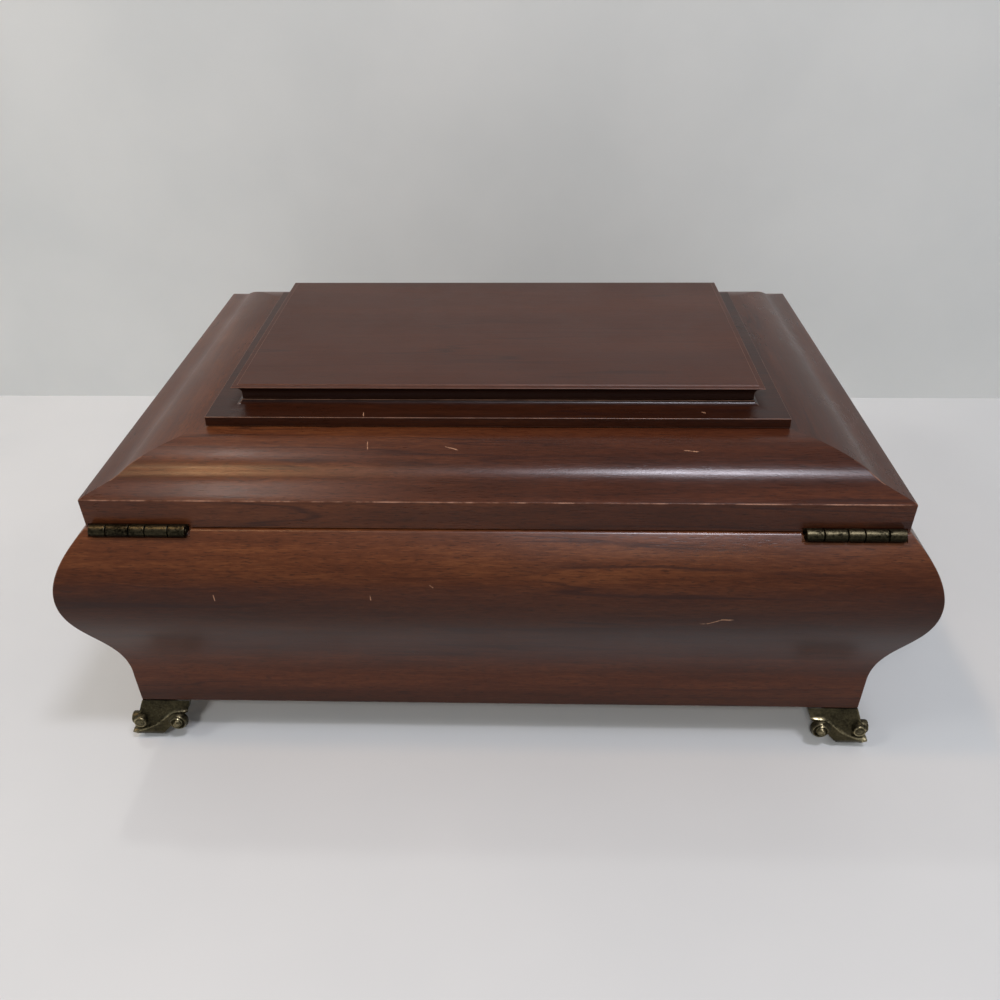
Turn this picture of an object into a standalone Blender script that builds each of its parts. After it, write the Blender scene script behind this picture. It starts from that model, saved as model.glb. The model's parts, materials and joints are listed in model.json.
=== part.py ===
"""A bombe-sided wooden jewelry box with a key-wound musical movement.

Sizes are in millimetres and are made metres when a mesh is finished. The origin is on the floor under
the middle of the box, +Y is the side with the hinges and +Z is up. The box rests closed.
"""

import math
import random

import bmesh
import bpy
from mathutils import Matrix, Vector

MM = 0.001

# Clearances
GAP = 0.3
MITRE_GAP = 0.1
RUNNING_GAP = 0.3

# The box: the lid's rim is the reference outline that the other outlines are measured from
RIM_LENGTH = 270.0
RIM_DEPTH = 193.0
FOOT_HEIGHT = 16.2
BODY_HEIGHT = 78.6
WALL_INSET = 12.0
SHOULDER_OUTSET = 0.3
SHOULDER_PULL = (6.7, 6.5)
BELLY_OUTSET = 11.4
BELLY_DROP = 22.5
BELLY_PULLS = (8.8, 15.8)
WAIST_OUTSET = -1.5
WAIST_RISE = 12.8
WAIST_PULL = 17.9
BASE_OUTSET = -1.9
RABBET_DEPTH = 3.0
PANEL_THICKNESS = 4.5
PANEL_RECESS = 2.3

# The lid
RIM_HEIGHT = 10.6
RIM_TAPER = 0.3
OGEE_MIDDLE = (11.9, 4.6)
OGEE_START_PULL = (3.75, 1.6)
OGEE_MIDDLE_PULLS = ((3.4, 2.66), (3.4, 2.66))
OGEE_END_PULL = 6.0
OGEE_RISE = 9.2
LID_LIP = 14.0
LID_RECESS = 7.9
CORE_THICKNESS = 7.0
PLINTH_INSET = 34.0
PLINTH_FLAT = 5.0
PLINTH_SEAT = 2.0
SLAB_HEIGHT = 3.5
PLINTH_HEIGHT = 5.2
COVE_START = 40.0
COVE_NECK = 44.7
COVE_PULLS = (2.6, 1.1)
TOP_PANEL_NECK = 45.0
TOP_PANEL_INSET = 42.2
TOP_PANEL_HEIGHT = 5.8
TOP_PANEL_NECK_RISE = 1.9
TOP_PANEL_LIP = 0.7
TOP_PANEL_QUIRK = (2.05, 0.35)
MIRROR_BORDER = 20.5
MIRROR_THICKNESS = 3.0
LID_LINING_THICKNESS = 5.5
LID_LINING_CROWN = ((0, 0.36), (0.05, 0.18), (0.2, 0.04), (0.44, 0), (0.73, 0.04), (0.93, 0.22), (1, 0.44))

# The hinges
HINGE_LENGTH = 31.8
HINGE_EDGE = 2.4
HINGE_OUTSET = 1.5
BARREL_RADIUS = 2.15
HINGE_PIN_RADIUS = 1.0
LEAF_THICKNESS = 0.9
LEAF_DEPTH = 12.0
KNUCKLES = (5.6, 7.6, 5.4, 7.6, 5.6)
HINGE_RECESS_END = 1.1

# The feet
FOOT_WING = 18.0
FOOT_WALL = 2.0
FOOT_PAD = 1.6
FOOT_CLIMB = 11.5
FOOT_FLARE = 3.4
FOOT_FLARE_CURVE = 0.85
FOOT_TUCK = 4.0
FOOT_TUCK_DEPTH = 3.0
FOOT_RIDGE = 1.1
FOOT_RIDGE_HEIGHTS = (4.1, 12.2)
FOOT_RIDGE_RUN = (-0.5, 13.4)
TOE_BUTTON = (-1.0, 8.4, 2.4, 2.0)
SCROLL = (13.1, 8.4, 3.7, 1.5)
SCREW_TAB = 15.0
SCREW_PLACE = 5.4
SCREW_HOLE = 1.3
SCREW_TAB_THICKNESS = 1.6

# Linings, partitions and tray
LINING = 1.5
LINING_DROP = 2.3
PARTITION = 3.0
PARTITION_DROP = 10.8
BAY_WIDTH = 60.5
BAY_DEPTH = 47.5
COVER_THICKNESS = 2.0
COVER_RISE = 28.7
CLEAT = 3.5
TRAY_DROP = 4.8
TRAY_HEIGHT = 28.0
TRAY_WALL = 3.0
TRAY_BASE = 2.5
RING_ROLLS = 5
RING_ROLL_WIDTH = 9.6
RING_CUSHION_HEIGHT = 19.0
TRAY_COMPARTMENTS = 3
DIVIDER_DROP = 5.0
LOWER_DIVIDER_X = 32.0
LOWER_DIVIDER_DROP = 6.9
RIBBON_WIDTH = 12.0
RIBBON_THICKNESS = 0.8

# The musical movement, in its own axes: u along +X, v along +Y, w up from its bedplate's underside
MOVEMENT_MARGIN = (4.7, 2.7)
BEDPLATE_U = (-25.5, 26.5)
BEDPLATE_V = (-19.5, 19.5)
BEDPLATE_THICKNESS = 2.4
CYLINDER_V = 2.0
CYLINDER_W = 11.1
CYLINDER_RADIUS = 6.3
CYLINDER_U = (2.8, 19.3)
PIN_LENGTH = 0.7
NOTES = 18
NOTE_PITCH = 0.9
BEATS = 40
PINS = 80
ARBOR_RADIUS = 1.0
CROWN_TEETH = 24
CROWN_RADIUS = 11.6
CROWN_FACE = 1.8
CROWN_PINION_TEETH = 12
CROWN_ADDENDUM = 0.7
CROWN_DEDENDUM = 1.1
BARREL_U = -11.8
FLANGE_W = (3.0, 4.2)
CASE_RADIUS = 9.3
CASE_WALL = 0.7
CASE_TOP = 12.6
SPRING_TURNS = 6
SPRING_THICKNESS = 0.3
WINDING_RADIUS = 1.6
BRIDGE_W = 14.4
BRIDGE_THICKNESS = 1.5
BRIDGE_REACH = 15.0
PILLAR_RADIUS = 1.8
WHEEL_TEETH = 22
PINION_TEETH = 8
WHEEL_MODULE = 0.6
WHEEL_U = (19.6, 20.8)
WORM_WHEEL_TEETH = 14
WORM_MODULE = 0.5
WORM_WHEEL_U = (22.0, 23.2)
WORM_RADIUS = 1.8
WORM_W = (7.6, 14.6)
GOVERNOR_ARBOR_RADIUS = 0.6
CHEEK = 1.2
CHEEK_U = (18.0, 25.0)
CHEEK_STEPS = (-3.1, 0.9, 3.3)
SPINDLE_RADIUS = 0.5
FLY_RADIUS = 2.9
FLY_W = (15.4, 17.6)
DISC_W = (17.9, 18.5)
GOVERNOR_TOP = 20.6
ROD_RADIUS = 0.8
ROD_OFFSET = 2.5
GUIDE_WIDTH = 6.0
GUIDE_DROP = 3.0
GUIDE_EDGE = 2.2
GUIDE_PLATE = 8.0
GUIDE_THICKNESS = 1.0
COMB_TIP_GAP = 0.3
COMB_THICKNESS = 0.8
COMB_BACK = -18.2
COMB_TOOTH = 0.62
COMB_MARGIN = 0.7
COMB_ROOT = 4.6
COMB_ROOT_RUN = 3.6
COMB_SCREWS = (2.5, 8.5, 14.5)
COMB_SCREW_SET = 2.3
COMB_SCREW_HOLE = 0.9
COMB_BASE_DEPTH = 4.4
KEY_WING = 11.0
KEY_HUB_RADIUS = 3.4
KEY_DROP = 12.5
KEY_THICKNESS = 1.8

# Levels and half sizes worked out from the sizes above
RAIL_WIDTH = PLINTH_INSET + PLINTH_SEAT
OGEE_WIDTH = PLINTH_INSET - PLINTH_FLAT
HALF_X = RIM_LENGTH / 2
HALF_Y = RIM_DEPTH / 2
BODY_TOP = FOOT_HEIGHT + BODY_HEIGHT
BELLY_Z = BODY_TOP - BELLY_DROP
PANEL_BOTTOM = FOOT_HEIGHT + PANEL_RECESS
PANEL_TOP = PANEL_BOTTOM + PANEL_THICKNESS
FLOOR_Z = PANEL_TOP + GAP
INNER_X = HALF_X - WALL_INSET
INNER_Y = HALF_Y - WALL_INSET
LINED_X = INNER_X - GAP - LINING
LINED_Y = INNER_Y - GAP - LINING
LID_BOTTOM = BODY_TOP + GAP
RIM_TOP = LID_BOTTOM + RIM_HEIGHT
OGEE_TOP = RIM_TOP + OGEE_RISE
RECESS_TOP = LID_BOTTOM + LID_RECESS
PLINTH_BOTTOM = OGEE_TOP + GAP
PLINTH_TOP = PLINTH_BOTTOM + PLINTH_HEIGHT
TOP_PANEL_BOTTOM = PLINTH_TOP + GAP
HINGE_Y = HALF_Y + HINGE_OUTSET
HINGE_Z = BODY_TOP + GAP / 2
HINGE_INNER_END = HALF_X - HINGE_EDGE - HINGE_LENGTH
BAY_EDGE_X = -LINED_X + BAY_WIDTH + GAP
BAY_EDGE_Y = LINED_Y - BAY_DEPTH - GAP
COVER_BOTTOM = FLOOR_Z + COVER_RISE
TRAY_TOP = BODY_TOP - TRAY_DROP
TRAY_BOTTOM = TRAY_TOP - TRAY_HEIGHT
TRAY_X = (BAY_EDGE_X + PARTITION + GAP, LINED_X - GAP)
TRAY_Y = (-LINED_Y + GAP, LINED_Y - GAP)
MOVEMENT_X = -LINED_X - BEDPLATE_U[0] + MOVEMENT_MARGIN[0]
MOVEMENT_Y = LINED_Y - BEDPLATE_V[1] - MOVEMENT_MARGIN[1]
CROWN_PITCH = 2 * math.pi * CROWN_RADIUS / CROWN_TEETH
CROWN_PINION_RADIUS = CROWN_RADIUS * CROWN_PINION_TEETH / CROWN_TEETH
CROWN_PITCH_W = CYLINDER_W - CROWN_PINION_RADIUS
WHEEL_RADIUS = WHEEL_MODULE * WHEEL_TEETH / 2
PINION_RADIUS = WHEEL_MODULE * PINION_TEETH / 2
GOVERNOR_V = CYLINDER_V + WHEEL_RADIUS + PINION_RADIUS
WORM_WHEEL_RADIUS = WORM_MODULE * WORM_WHEEL_TEETH / 2
WORM_U = sum(WORM_WHEEL_U) / 2
WORM_V = GOVERNOR_V + WORM_WHEEL_RADIUS + WORM_RADIUS
ROD_V = WORM_V + ROD_OFFSET

COLOURS = {
    "mahogany": ((0.075, 0.022, 0.013), 0.32, 0.0),
    "plywood": ((0.36, 0.22, 0.11), 0.7, 0.0),
    "antique_brass": ((0.13, 0.105, 0.055), 0.38, 1.0),
    "velvet": ((0.16, 0.012, 0.02), 0.95, 0.0),
    "satin_ribbon": ((0.3, 0.03, 0.04), 0.5, 0.0),
    "mirror": ((0.9, 0.91, 0.92), 0.03, 1.0),
    "clear_cover": ((0.85, 0.9, 0.9), 0.05, 0.0),
    "brass": ((0.72, 0.5, 0.2), 0.28, 1.0),
    "steel": ((0.55, 0.56, 0.58), 0.3, 1.0),
    "cast_zinc": ((0.46, 0.47, 0.48), 0.45, 1.0),
    "governor_plastic": ((0.75, 0.75, 0.72), 0.45, 0.0),
}


def clear_scene():
    for thing in list(bpy.data.objects):
        bpy.data.objects.remove(thing, do_unlink=True)


def material_of(name, finish):
    """Each object gets its own Principled material in one of the finishes above."""
    colour, roughness, metallic = COLOURS[finish]
    made = bpy.data.materials.new(name + "_" + finish)
    made.use_nodes = True
    shader = made.node_tree.nodes["Principled BSDF"]
    shader.inputs["Base Color"].default_value = (*colour, 1.0)
    shader.inputs["Roughness"].default_value = roughness
    shader.inputs["Metallic"].default_value = metallic
    if finish == "clear_cover":
        shader.inputs["Transmission Weight"].default_value = 1.0
    return made


def finished(name, bm, finish, origin=(0, 0, 0), smooth=False, parent=None):
    """Turns a bmesh in millimetres into an object in metres whose origin is at the given point."""
    bmesh.ops.remove_doubles(bm, verts=bm.verts, dist=0.0005)
    bmesh.ops.recalc_face_normals(bm, faces=bm.faces)
    bmesh.ops.translate(bm, vec=-Vector(origin), verts=bm.verts)
    bmesh.ops.scale(bm, vec=(MM, MM, MM), verts=bm.verts)
    mesh = bpy.data.meshes.new(name)
    bm.to_mesh(mesh)
    bm.free()
    return placed(name, mesh, finish, origin, smooth, parent)


def placed(name, mesh, finish, origin, smooth=False, parent=None):
    thing = bpy.data.objects.new(name, mesh)
    bpy.context.scene.collection.objects.link(thing)
    if not mesh.materials:
        mesh.materials.append(None)
    thing.material_slots[0].link = "OBJECT"
    thing.material_slots[0].material = material_of(name, finish)
    place = Vector(origin) * MM
    if parent:
        thing.parent = parent
        place = place - parent.location
    thing.location = place
    if smooth:
        mesh.shade_smooth()
        mesh.set_sharp_from_angle(angle=math.radians(35))
    return thing


def pivot(name, place):
    """An empty on a joint's axis, which the pieces that move there hang from."""
    empty = bpy.data.objects.new(name, None)
    bpy.context.scene.collection.objects.link(empty)
    empty.location = Vector(place) * MM
    empty.empty_display_size = 0.01
    return empty


def helper(thing):
    """Hides a cutter or a piece that is fused to another."""
    thing.hide_render = True
    thing.display_type = "WIRE"
    return thing


def boolean(thing, other, operation):
    change = thing.modifiers.new(operation.lower() + "_" + other.name, "BOOLEAN")
    change.operation = operation
    change.object = helper(other)
    return thing


def fuse(thing, *others):
    for other in others:
        boolean(thing, other, "UNION")
    return thing


def cut(thing, *others):
    for other in others:
        boolean(thing, other, "DIFFERENCE")
    return thing


def softened(thing, width, segments=1):
    """Breaks the sharp edges by the given width."""
    change = thing.modifiers.new("broken_edges", "BEVEL")
    change.width = width * MM
    change.segments = segments
    change.limit_method = "ANGLE"
    change.angle_limit = math.radians(50)
    return thing


def block(low, high):
    """A rectangular block between two corners."""
    bm = bmesh.new()
    size = Vector(high) - Vector(low)
    middle = (Vector(high) + Vector(low)) / 2
    bmesh.ops.create_cube(bm, size=1, matrix=Matrix.Translation(middle) @ Matrix.Diagonal((*size, 1)))
    return bm


def circle(a, b, radius, steps=16, start=0.0):
    turn = [start + 2 * math.pi * i / steps for i in range(steps)]
    return [(a + radius * math.cos(t), b + radius * math.sin(t)) for t in turn]


def rounded(low, high, radius, steps=4):
    """The outline of a rectangle with rounded corners."""
    (a0, b0), (a1, b1) = low, high
    points = []
    corners = ((a1 - radius, b1 - radius), (a0 + radius, b1 - radius),
               (a0 + radius, b0 + radius), (a1 - radius, b0 + radius))
    for quarter, (a, b) in enumerate(corners):
        for i in range(steps + 1):
            t = math.pi / 2 * (quarter + i / steps)
            points.append((a + radius * math.cos(t), b + radius * math.sin(t)))
    return points


def sheet(axis, start, end, outline, holes=()):
    """An outline with holes, made thick along an axis. For X it is drawn in Y and Z, and so on."""
    bm = bmesh.new()
    edges = []
    for loop in (outline, *holes):
        corners = [bm.verts.new((a, b, 0)) for a, b in loop]
        edges += [bm.edges.new((corners[i - 1], corners[i])) for i in range(len(corners))]
    bmesh.ops.triangle_fill(bm, edges=edges, use_beauty=True)
    grown = bmesh.ops.extrude_face_region(bm, geom=bm.faces[:])
    raised = [v for v in grown["geom"] if isinstance(v, bmesh.types.BMVert)]
    bmesh.ops.translate(bm, vec=(0, 0, end - start), verts=raised)
    for v in bm.verts:
        a, b, c = v.co
        c += start
        v.co = {"X": (c, a, b), "Y": (a, c, b), "Z": (a, b, c)}[axis]
    return bm


def turned(profile, centre, axis="Z", steps=24, closed=True):
    """A profile of (radius, height) turned about an axis through the centre."""
    bm = bmesh.new()
    corners = [bm.verts.new((r, 0, h)) for r, h in profile]
    edges = [bm.edges.new((corners[i], corners[i + 1])) for i in range(len(corners) - 1)]
    if closed:
        edges.append(bm.edges.new((corners[-1], corners[0])))
    bmesh.ops.spin(bm, geom=corners + edges, cent=(0, 0, 0), axis=(0, 0, 1),
                   angle=2 * math.pi, steps=steps, use_merge=True)
    bmesh.ops.remove_doubles(bm, verts=bm.verts, dist=0.0005)
    lie = {"Z": Matrix(), "X": Matrix.Rotation(math.pi / 2, 4, "Y"), "Y": Matrix.Rotation(-math.pi / 2, 4, "X")}
    bmesh.ops.transform(bm, matrix=Matrix.Translation(centre) @ lie[axis], verts=bm.verts)
    return bm


def rod(radius, start, end):
    """A profile for a plain solid shaft."""
    return [(0, start), (radius, start), (radius, end), (0, end)]


def sleeve(inner, outer, start, end):
    """A profile for a tube."""
    return [(inner, start), (outer, start), (outer, end), (inner, end)]


def bezier(p0, p1, p2, p3, steps):
    """Points on a curve after its first point, up to its last."""
    points = []
    for i in range(1, steps + 1):
        t = i / steps
        weights = ((1 - t) ** 3, 3 * (1 - t) ** 2 * t, 3 * (1 - t) * t * t, t ** 3)
        points.append(tuple(sum(w * p[k] for w, p in zip(weights, (p0, p1, p2, p3))) for k in (0, 1)))
    return points


def mitred(profile, side):
    """One side of a frame whose corners are mitred. The profile is (outset from the rim, height)."""
    along, across = (HALF_X, HALF_Y) if side in ("front", "back") else (HALF_Y, HALF_X)
    bm = bmesh.new()
    ends = []
    for sign in (-1, 1):
        loop = []
        for outset, z in profile:
            a = sign * (along + outset - MITRE_GAP)
            b = across + outset
            point = {"front": (a, -b, z), "back": (a, b, z), "left": (-b, a, z), "right": (b, a, z)}[side]
            loop.append(bm.verts.new(point))
        ends.append(loop)
        bm.faces.new(loop)
    count = len(profile)
    for i in range(count):
        bm.faces.new((ends[0][i - 1], ends[0][i], ends[1][i], ends[1][i - 1]))
    return bm


def stacked(profile, half_x=HALF_X, half_y=HALF_Y):
    """A solid of rectangles one above the other. The profile is (inset from the half size, height)."""
    bm = bmesh.new()
    loops = []
    for inset, z in profile:
        x, y = half_x - inset, half_y - inset
        loops.append([bm.verts.new(p) for p in ((-x, -y, z), (x, -y, z), (x, y, z), (-x, y, z))])
    for low, high in zip(loops, loops[1:]):
        for i in range(4):
            bm.faces.new((low[i - 1], low[i], high[i], high[i - 1]))
    bm.faces.new(loops[0])
    bm.faces.new(loops[-1])
    return bm


def framed(profile, half_x, half_y):
    """A picture-frame ring. The profile is a closed loop of (inset from the outer half size, height)."""
    bm = stacked(profile, half_x, half_y)
    bm.faces.ensure_lookup_table()
    ends = bm.faces[-2:]
    rings = [list(face.verts) for face in ends]
    for face in ends:
        bm.faces.remove(face)
    for i in range(4):
        bm.faces.new((rings[0][i - 1], rings[0][i], rings[1][i], rings[1][i - 1]))
    return bm


def at(u, v, w):
    """A point of the movement in the box's own axes."""
    return (MOVEMENT_X + u, MOVEMENT_Y + v, FLOOR_Z + w)


def moved(bm):
    """Takes a mesh drawn in the movement's axes to its place in the box."""
    bmesh.ops.translate(bm, vec=at(0, 0, 0), verts=bm.verts)
    return bm


def body_profile():
    """The bombe wall: a swelling shoulder, an undercut waist, and a rabbet for the bottom panel."""
    top = (SHOULDER_OUTSET, BODY_TOP)
    belly = (BELLY_OUTSET, BELLY_Z)
    waist = (WAIST_OUTSET, FOOT_HEIGHT + WAIST_RISE)
    shoulder_pull = (top[0] + SHOULDER_PULL[0], top[1] - SHOULDER_PULL[1])
    points = [(-WALL_INSET, BODY_TOP), top]
    points += bezier(top, shoulder_pull, (belly[0], belly[1] + BELLY_PULLS[0]), belly, 9)
    points += bezier(belly, (belly[0], belly[1] - BELLY_PULLS[1]), (waist[0], waist[1] + WAIST_PULL), waist, 13)
    points.append((BASE_OUTSET, FOOT_HEIGHT))
    rabbet = -WALL_INSET + RABBET_DEPTH
    points += [(rabbet, FOOT_HEIGHT), (rabbet, FLOOR_Z), (-WALL_INSET, FLOOR_Z)]
    return points


def rail_profile():
    """The lid's moulding: square rim, ogee up to the plinth, and a recess under the lid."""
    rim = (0.0, RIM_TOP)
    middle = (-OGEE_MIDDLE[0], RIM_TOP + OGEE_MIDDLE[1])
    top = (-OGEE_WIDTH, OGEE_TOP)
    points = [(-RIM_TAPER, LID_BOTTOM), rim]
    (out, down), (back, up) = OGEE_MIDDLE_PULLS
    points += bezier(rim, (-OGEE_START_PULL[0], RIM_TOP + OGEE_START_PULL[1]),
                     (middle[0] + out, middle[1] - down), middle, 7)
    points += bezier(middle, (middle[0] - back, middle[1] + up), (top[0] + OGEE_END_PULL, top[1]), top, 7)
    points += [(-RAIL_WIDTH, OGEE_TOP), (-RAIL_WIDTH, RECESS_TOP), (-LID_LIP, RECESS_TOP), (-LID_LIP, LID_BOTTOM)]
    return points


def hinge_place(sign):
    """The two ends of a hinge along X, inner end first."""
    inner = sign * HINGE_INNER_END
    outer = sign * (HINGE_INNER_END + HINGE_LENGTH)
    return min(inner, outer), max(inner, outer)


def hinge_cutters(label, sign):
    """The mortise for the leaves and the round recess behind the barrel."""
    low, high = hinge_place(sign)
    deep = LEAF_THICKNESS + GAP
    mortise = block((low - GAP, HALF_Y - LEAF_DEPTH - GAP, BODY_TOP - deep),
                    (high + GAP, HALF_Y + 2 * BARREL_RADIUS, LID_BOTTOM + deep))
    ends = (low - HINGE_RECESS_END, high + HINGE_RECESS_END)
    recess = turned(rod(BARREL_RADIUS + GAP, *ends), (0, HINGE_Y, HINGE_Z), "X", 20, False)
    return (helper(finished("mortise_" + label, mortise, "mahogany")),
            helper(finished("recess_" + label, recess, "mahogany")))


def make_body(cutters):
    for side in ("front", "back", "left", "right"):
        wall = finished("body_wall_" + side, mitred(body_profile(), side), "mahogany", smooth=True)
        cut(wall, *cutters[side])
    reach = (INNER_X + RABBET_DEPTH - GAP, INNER_Y + RABBET_DEPTH - GAP)
    key = at(BARREL_U, CYLINDER_V, 0)
    hole = circle(key[0], key[1], WINDING_RADIUS + 1.0, 20)
    edge = [(-reach[0], -reach[1]), (reach[0], -reach[1]), reach, (-reach[0], reach[1])]
    finished("bottom_panel", sheet("Z", PANEL_BOTTOM, PANEL_TOP, edge, [hole]), "plywood")


def make_lid(parent, cutters):
    for side in ("front", "back", "left", "right"):
        rail = finished("lid_rail_" + side, mitred(rail_profile(), side), "mahogany",
                        parent.place, True, parent.empty)
        cut(rail, *cutters[side])
    core_x, core_y = HALF_X - RAIL_WIDTH - GAP, HALF_Y - RAIL_WIDTH - GAP
    core = block((-core_x, -core_y, RECESS_TOP), (core_x, core_y, RECESS_TOP + CORE_THICKNESS))
    parent.take("lid_core_panel", core, "plywood")
    slab_top = PLINTH_BOTTOM + SLAB_HEIGHT
    start, neck = (COVE_START, slab_top), (COVE_NECK, PLINTH_TOP)
    cove = bezier(start, (start[0] + COVE_PULLS[0], start[1]), (neck[0], neck[1] - COVE_PULLS[1]), neck, 6)
    plinth = stacked([(PLINTH_INSET, PLINTH_BOTTOM), (PLINTH_INSET, slab_top), start, *cove])
    parent.take("lid_plinth", plinth, "mahogany", smooth=True)
    top = TOP_PANEL_BOTTOM + TOP_PANEL_HEIGHT
    neck = (TOP_PANEL_NECK, TOP_PANEL_BOTTOM + TOP_PANEL_NECK_RISE)
    tip = (TOP_PANEL_INSET, top - TOP_PANEL_LIP)
    quirk, step = TOP_PANEL_QUIRK
    under = bezier(neck, (neck[0], neck[1] + 1.8), (tip[0] + 1.4, tip[1] - 0.5), tip, 5)
    panel = stacked([(TOP_PANEL_NECK, TOP_PANEL_BOTTOM), neck, *under, (tip[0] + 0.35, top - step - 0.05),
                     (tip[0] + quirk - 0.2, top - step), (tip[0] + quirk, top)])
    parent.take("lid_top_panel", panel, "mahogany", smooth=True)
    make_lid_inside(parent)


def make_lid_inside(parent):
    half_x, half_y = HALF_X - LID_LIP - GAP, HALF_Y - LID_LIP - GAP
    back = RECESS_TOP - GAP
    face = back - LID_LINING_THICKNESS
    crown = [(0, back)]
    for share, lower in LID_LINING_CROWN:
        crown.append((share * MIRROR_BORDER, face + lower * LID_LINING_THICKNESS))
    crown.append((MIRROR_BORDER, back))
    parent.take("lid_lining", framed(crown, half_x, half_y), "velvet", smooth=True)
    x, y = half_x - MIRROR_BORDER - GAP, half_y - MIRROR_BORDER - GAP
    glass = stacked([(0, back), (0, back - MIRROR_THICKNESS + 1.0), (1.6, back - MIRROR_THICKNESS)], x, y)
    parent.take("lid_mirror", glass, "mirror")


def knuckle(start, end):
    tube = sleeve(HINGE_PIN_RADIUS + RUNNING_GAP, BARREL_RADIUS, start, end)
    return turned(tube, (0, HINGE_Y, HINGE_Z), "X", 16)


def leaf_outline(low, spans):
    """A leaf in plan: a plate with a tab at each of its own knuckles."""
    plate_back = HINGE_Y - BARREL_RADIUS - GAP
    tab_end = HINGE_Y - HINGE_PIN_RADIUS - RUNNING_GAP - 0.1
    points = [(low + HINGE_LENGTH, HALF_Y - LEAF_DEPTH), (low, HALF_Y - LEAF_DEPTH), (low, plate_back)]
    for start, end in spans:
        points += [(start, plate_back), (start, tab_end), (end, tab_end), (end, plate_back)]
    points.append((low + HINGE_LENGTH, plate_back))
    tidy = []
    for point in points:
        if not tidy or math.dist(point, tidy[-1]) > 1e-6:
            tidy.append(point)
    return tidy


def make_hinge(label, sign, lid):
    low, high = hinge_place(sign)
    spans, start = [], low
    for length in KNUCKLES:
        spans.append((start + GAP / 2, start + length - GAP / 2))
        start += length
    spans[0] = (low, spans[0][1])
    spans[-1] = (spans[-1][0], high)
    for owner, own, bottom in (("body", spans[0::2], BODY_TOP - LEAF_THICKNESS), ("lid", spans[1::2], LID_BOTTOM)):
        name = "hinge_" + label + "_" + owner + "_leaf"
        plate = sheet("Z", bottom, bottom + LEAF_THICKNESS, leaf_outline(low, own))
        place = lid.place if owner == "lid" else (0, 0, 0)
        leaf = finished(name, plate, "antique_brass", place, True, lid.empty if owner == "lid" else None)
        for number, (a, b) in enumerate(own):
            fuse(leaf, finished(name + "_knuckle_" + str(number), knuckle(a, b), "antique_brass", smooth=True))
    end = 0.4
    pin = [(0, low - end), (HINGE_PIN_RADIUS - end, low - end), (HINGE_PIN_RADIUS, low), (HINGE_PIN_RADIUS, high),
           (HINGE_PIN_RADIUS - end, high + end), (0, high + end)]
    finished("hinge_" + label + "_pin", turned(pin, (0, HINGE_Y, HINGE_Z), "X", 14, False), "antique_brass",
             smooth=True)


def foot_outset(z):
    """How far the foot's face stands out at a height: upright at the box, flaring to the toe."""
    share = max(0.0, min(1.0, (FOOT_HEIGHT - GAP - z) / (FOOT_HEIGHT - GAP - FOOT_TUCK)))
    tucked = max(0.0, FOOT_TUCK - z) / FOOT_TUCK
    return FOOT_FLARE * share ** FOOT_FLARE_CURVE - FOOT_TUCK_DEPTH * tucked ** 2


def foot_low(s):
    """The lower edge of a wing: flat on the floor at the toe, then an S that climbs to the scroll."""
    t = max(0.0, min(1.0, (s - FOOT_PAD) / (FOOT_WING - FOOT_PAD)))
    return FOOT_CLIMB * t * t * (3 - 2 * t)


def foot_ridge(s):
    """The height of the sharp ridge that sweeps from under the toe to the top of the scroll."""
    start, end = FOOT_RIDGE_RUN
    t = max(0.0, min(1.0, (s - start) / (end - start)))
    low, high = FOOT_RIDGE_HEIGHTS
    return low + (high - low) * t * t * (3 - 2 * t)


def foot_section(s):
    """Points (outset, height) round a wing's section, outer face first."""
    low, top = foot_low(s), FOOT_HEIGHT - GAP
    ridge = max(0.16, (foot_ridge(s) - low) / (top - low))
    shares = (0.0, 0.4 * ridge, ridge - 0.03, ridge + 0.04, 0.5 + 0.5 * ridge, 0.8 + 0.2 * ridge, 1.0)
    rise = (0.3 * FOOT_RIDGE, 0.5 * FOOT_RIDGE, FOOT_RIDGE, 0.1, 0.0, 0.0, 0.0)
    outer = []
    for share, proud in zip(shares, rise):
        z = low + share * (top - low)
        outer.append((foot_outset(z) + proud, z))
    inner = [(foot_outset(z) - FOOT_WALL, z) for z in (top, low + 0.5 * (top - low), low)]
    return outer + inner


def foot_disc(wing, s, z, radius, proud):
    """A volute on a wing's face: a rolled rim, a groove and a round button."""
    face = foot_outset(z) + proud
    back = face - max(0.8 * radius, proud + 0.4 * FOOT_WALL)
    profile = [(0, back), (radius, back)]
    for share, rise in ((1, -0.2), (0.8, 0), (0.6, -0.13), (0.45, 0.03), (0.2, 0.15), (0, 0.15)):
        profile.append((share * radius, face + rise * radius))
    disc = turned(profile, (0, 0, 0), "Y" if wing == 0 else "X", 12, False)
    bmesh.ops.transform(disc, matrix=Matrix.Rotation(math.pi, 4, "Z"), verts=disc.verts)
    bmesh.ops.translate(disc, vec=(s, 0, z) if wing == 0 else (0, s, z), verts=disc.verts)
    return disc


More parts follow.
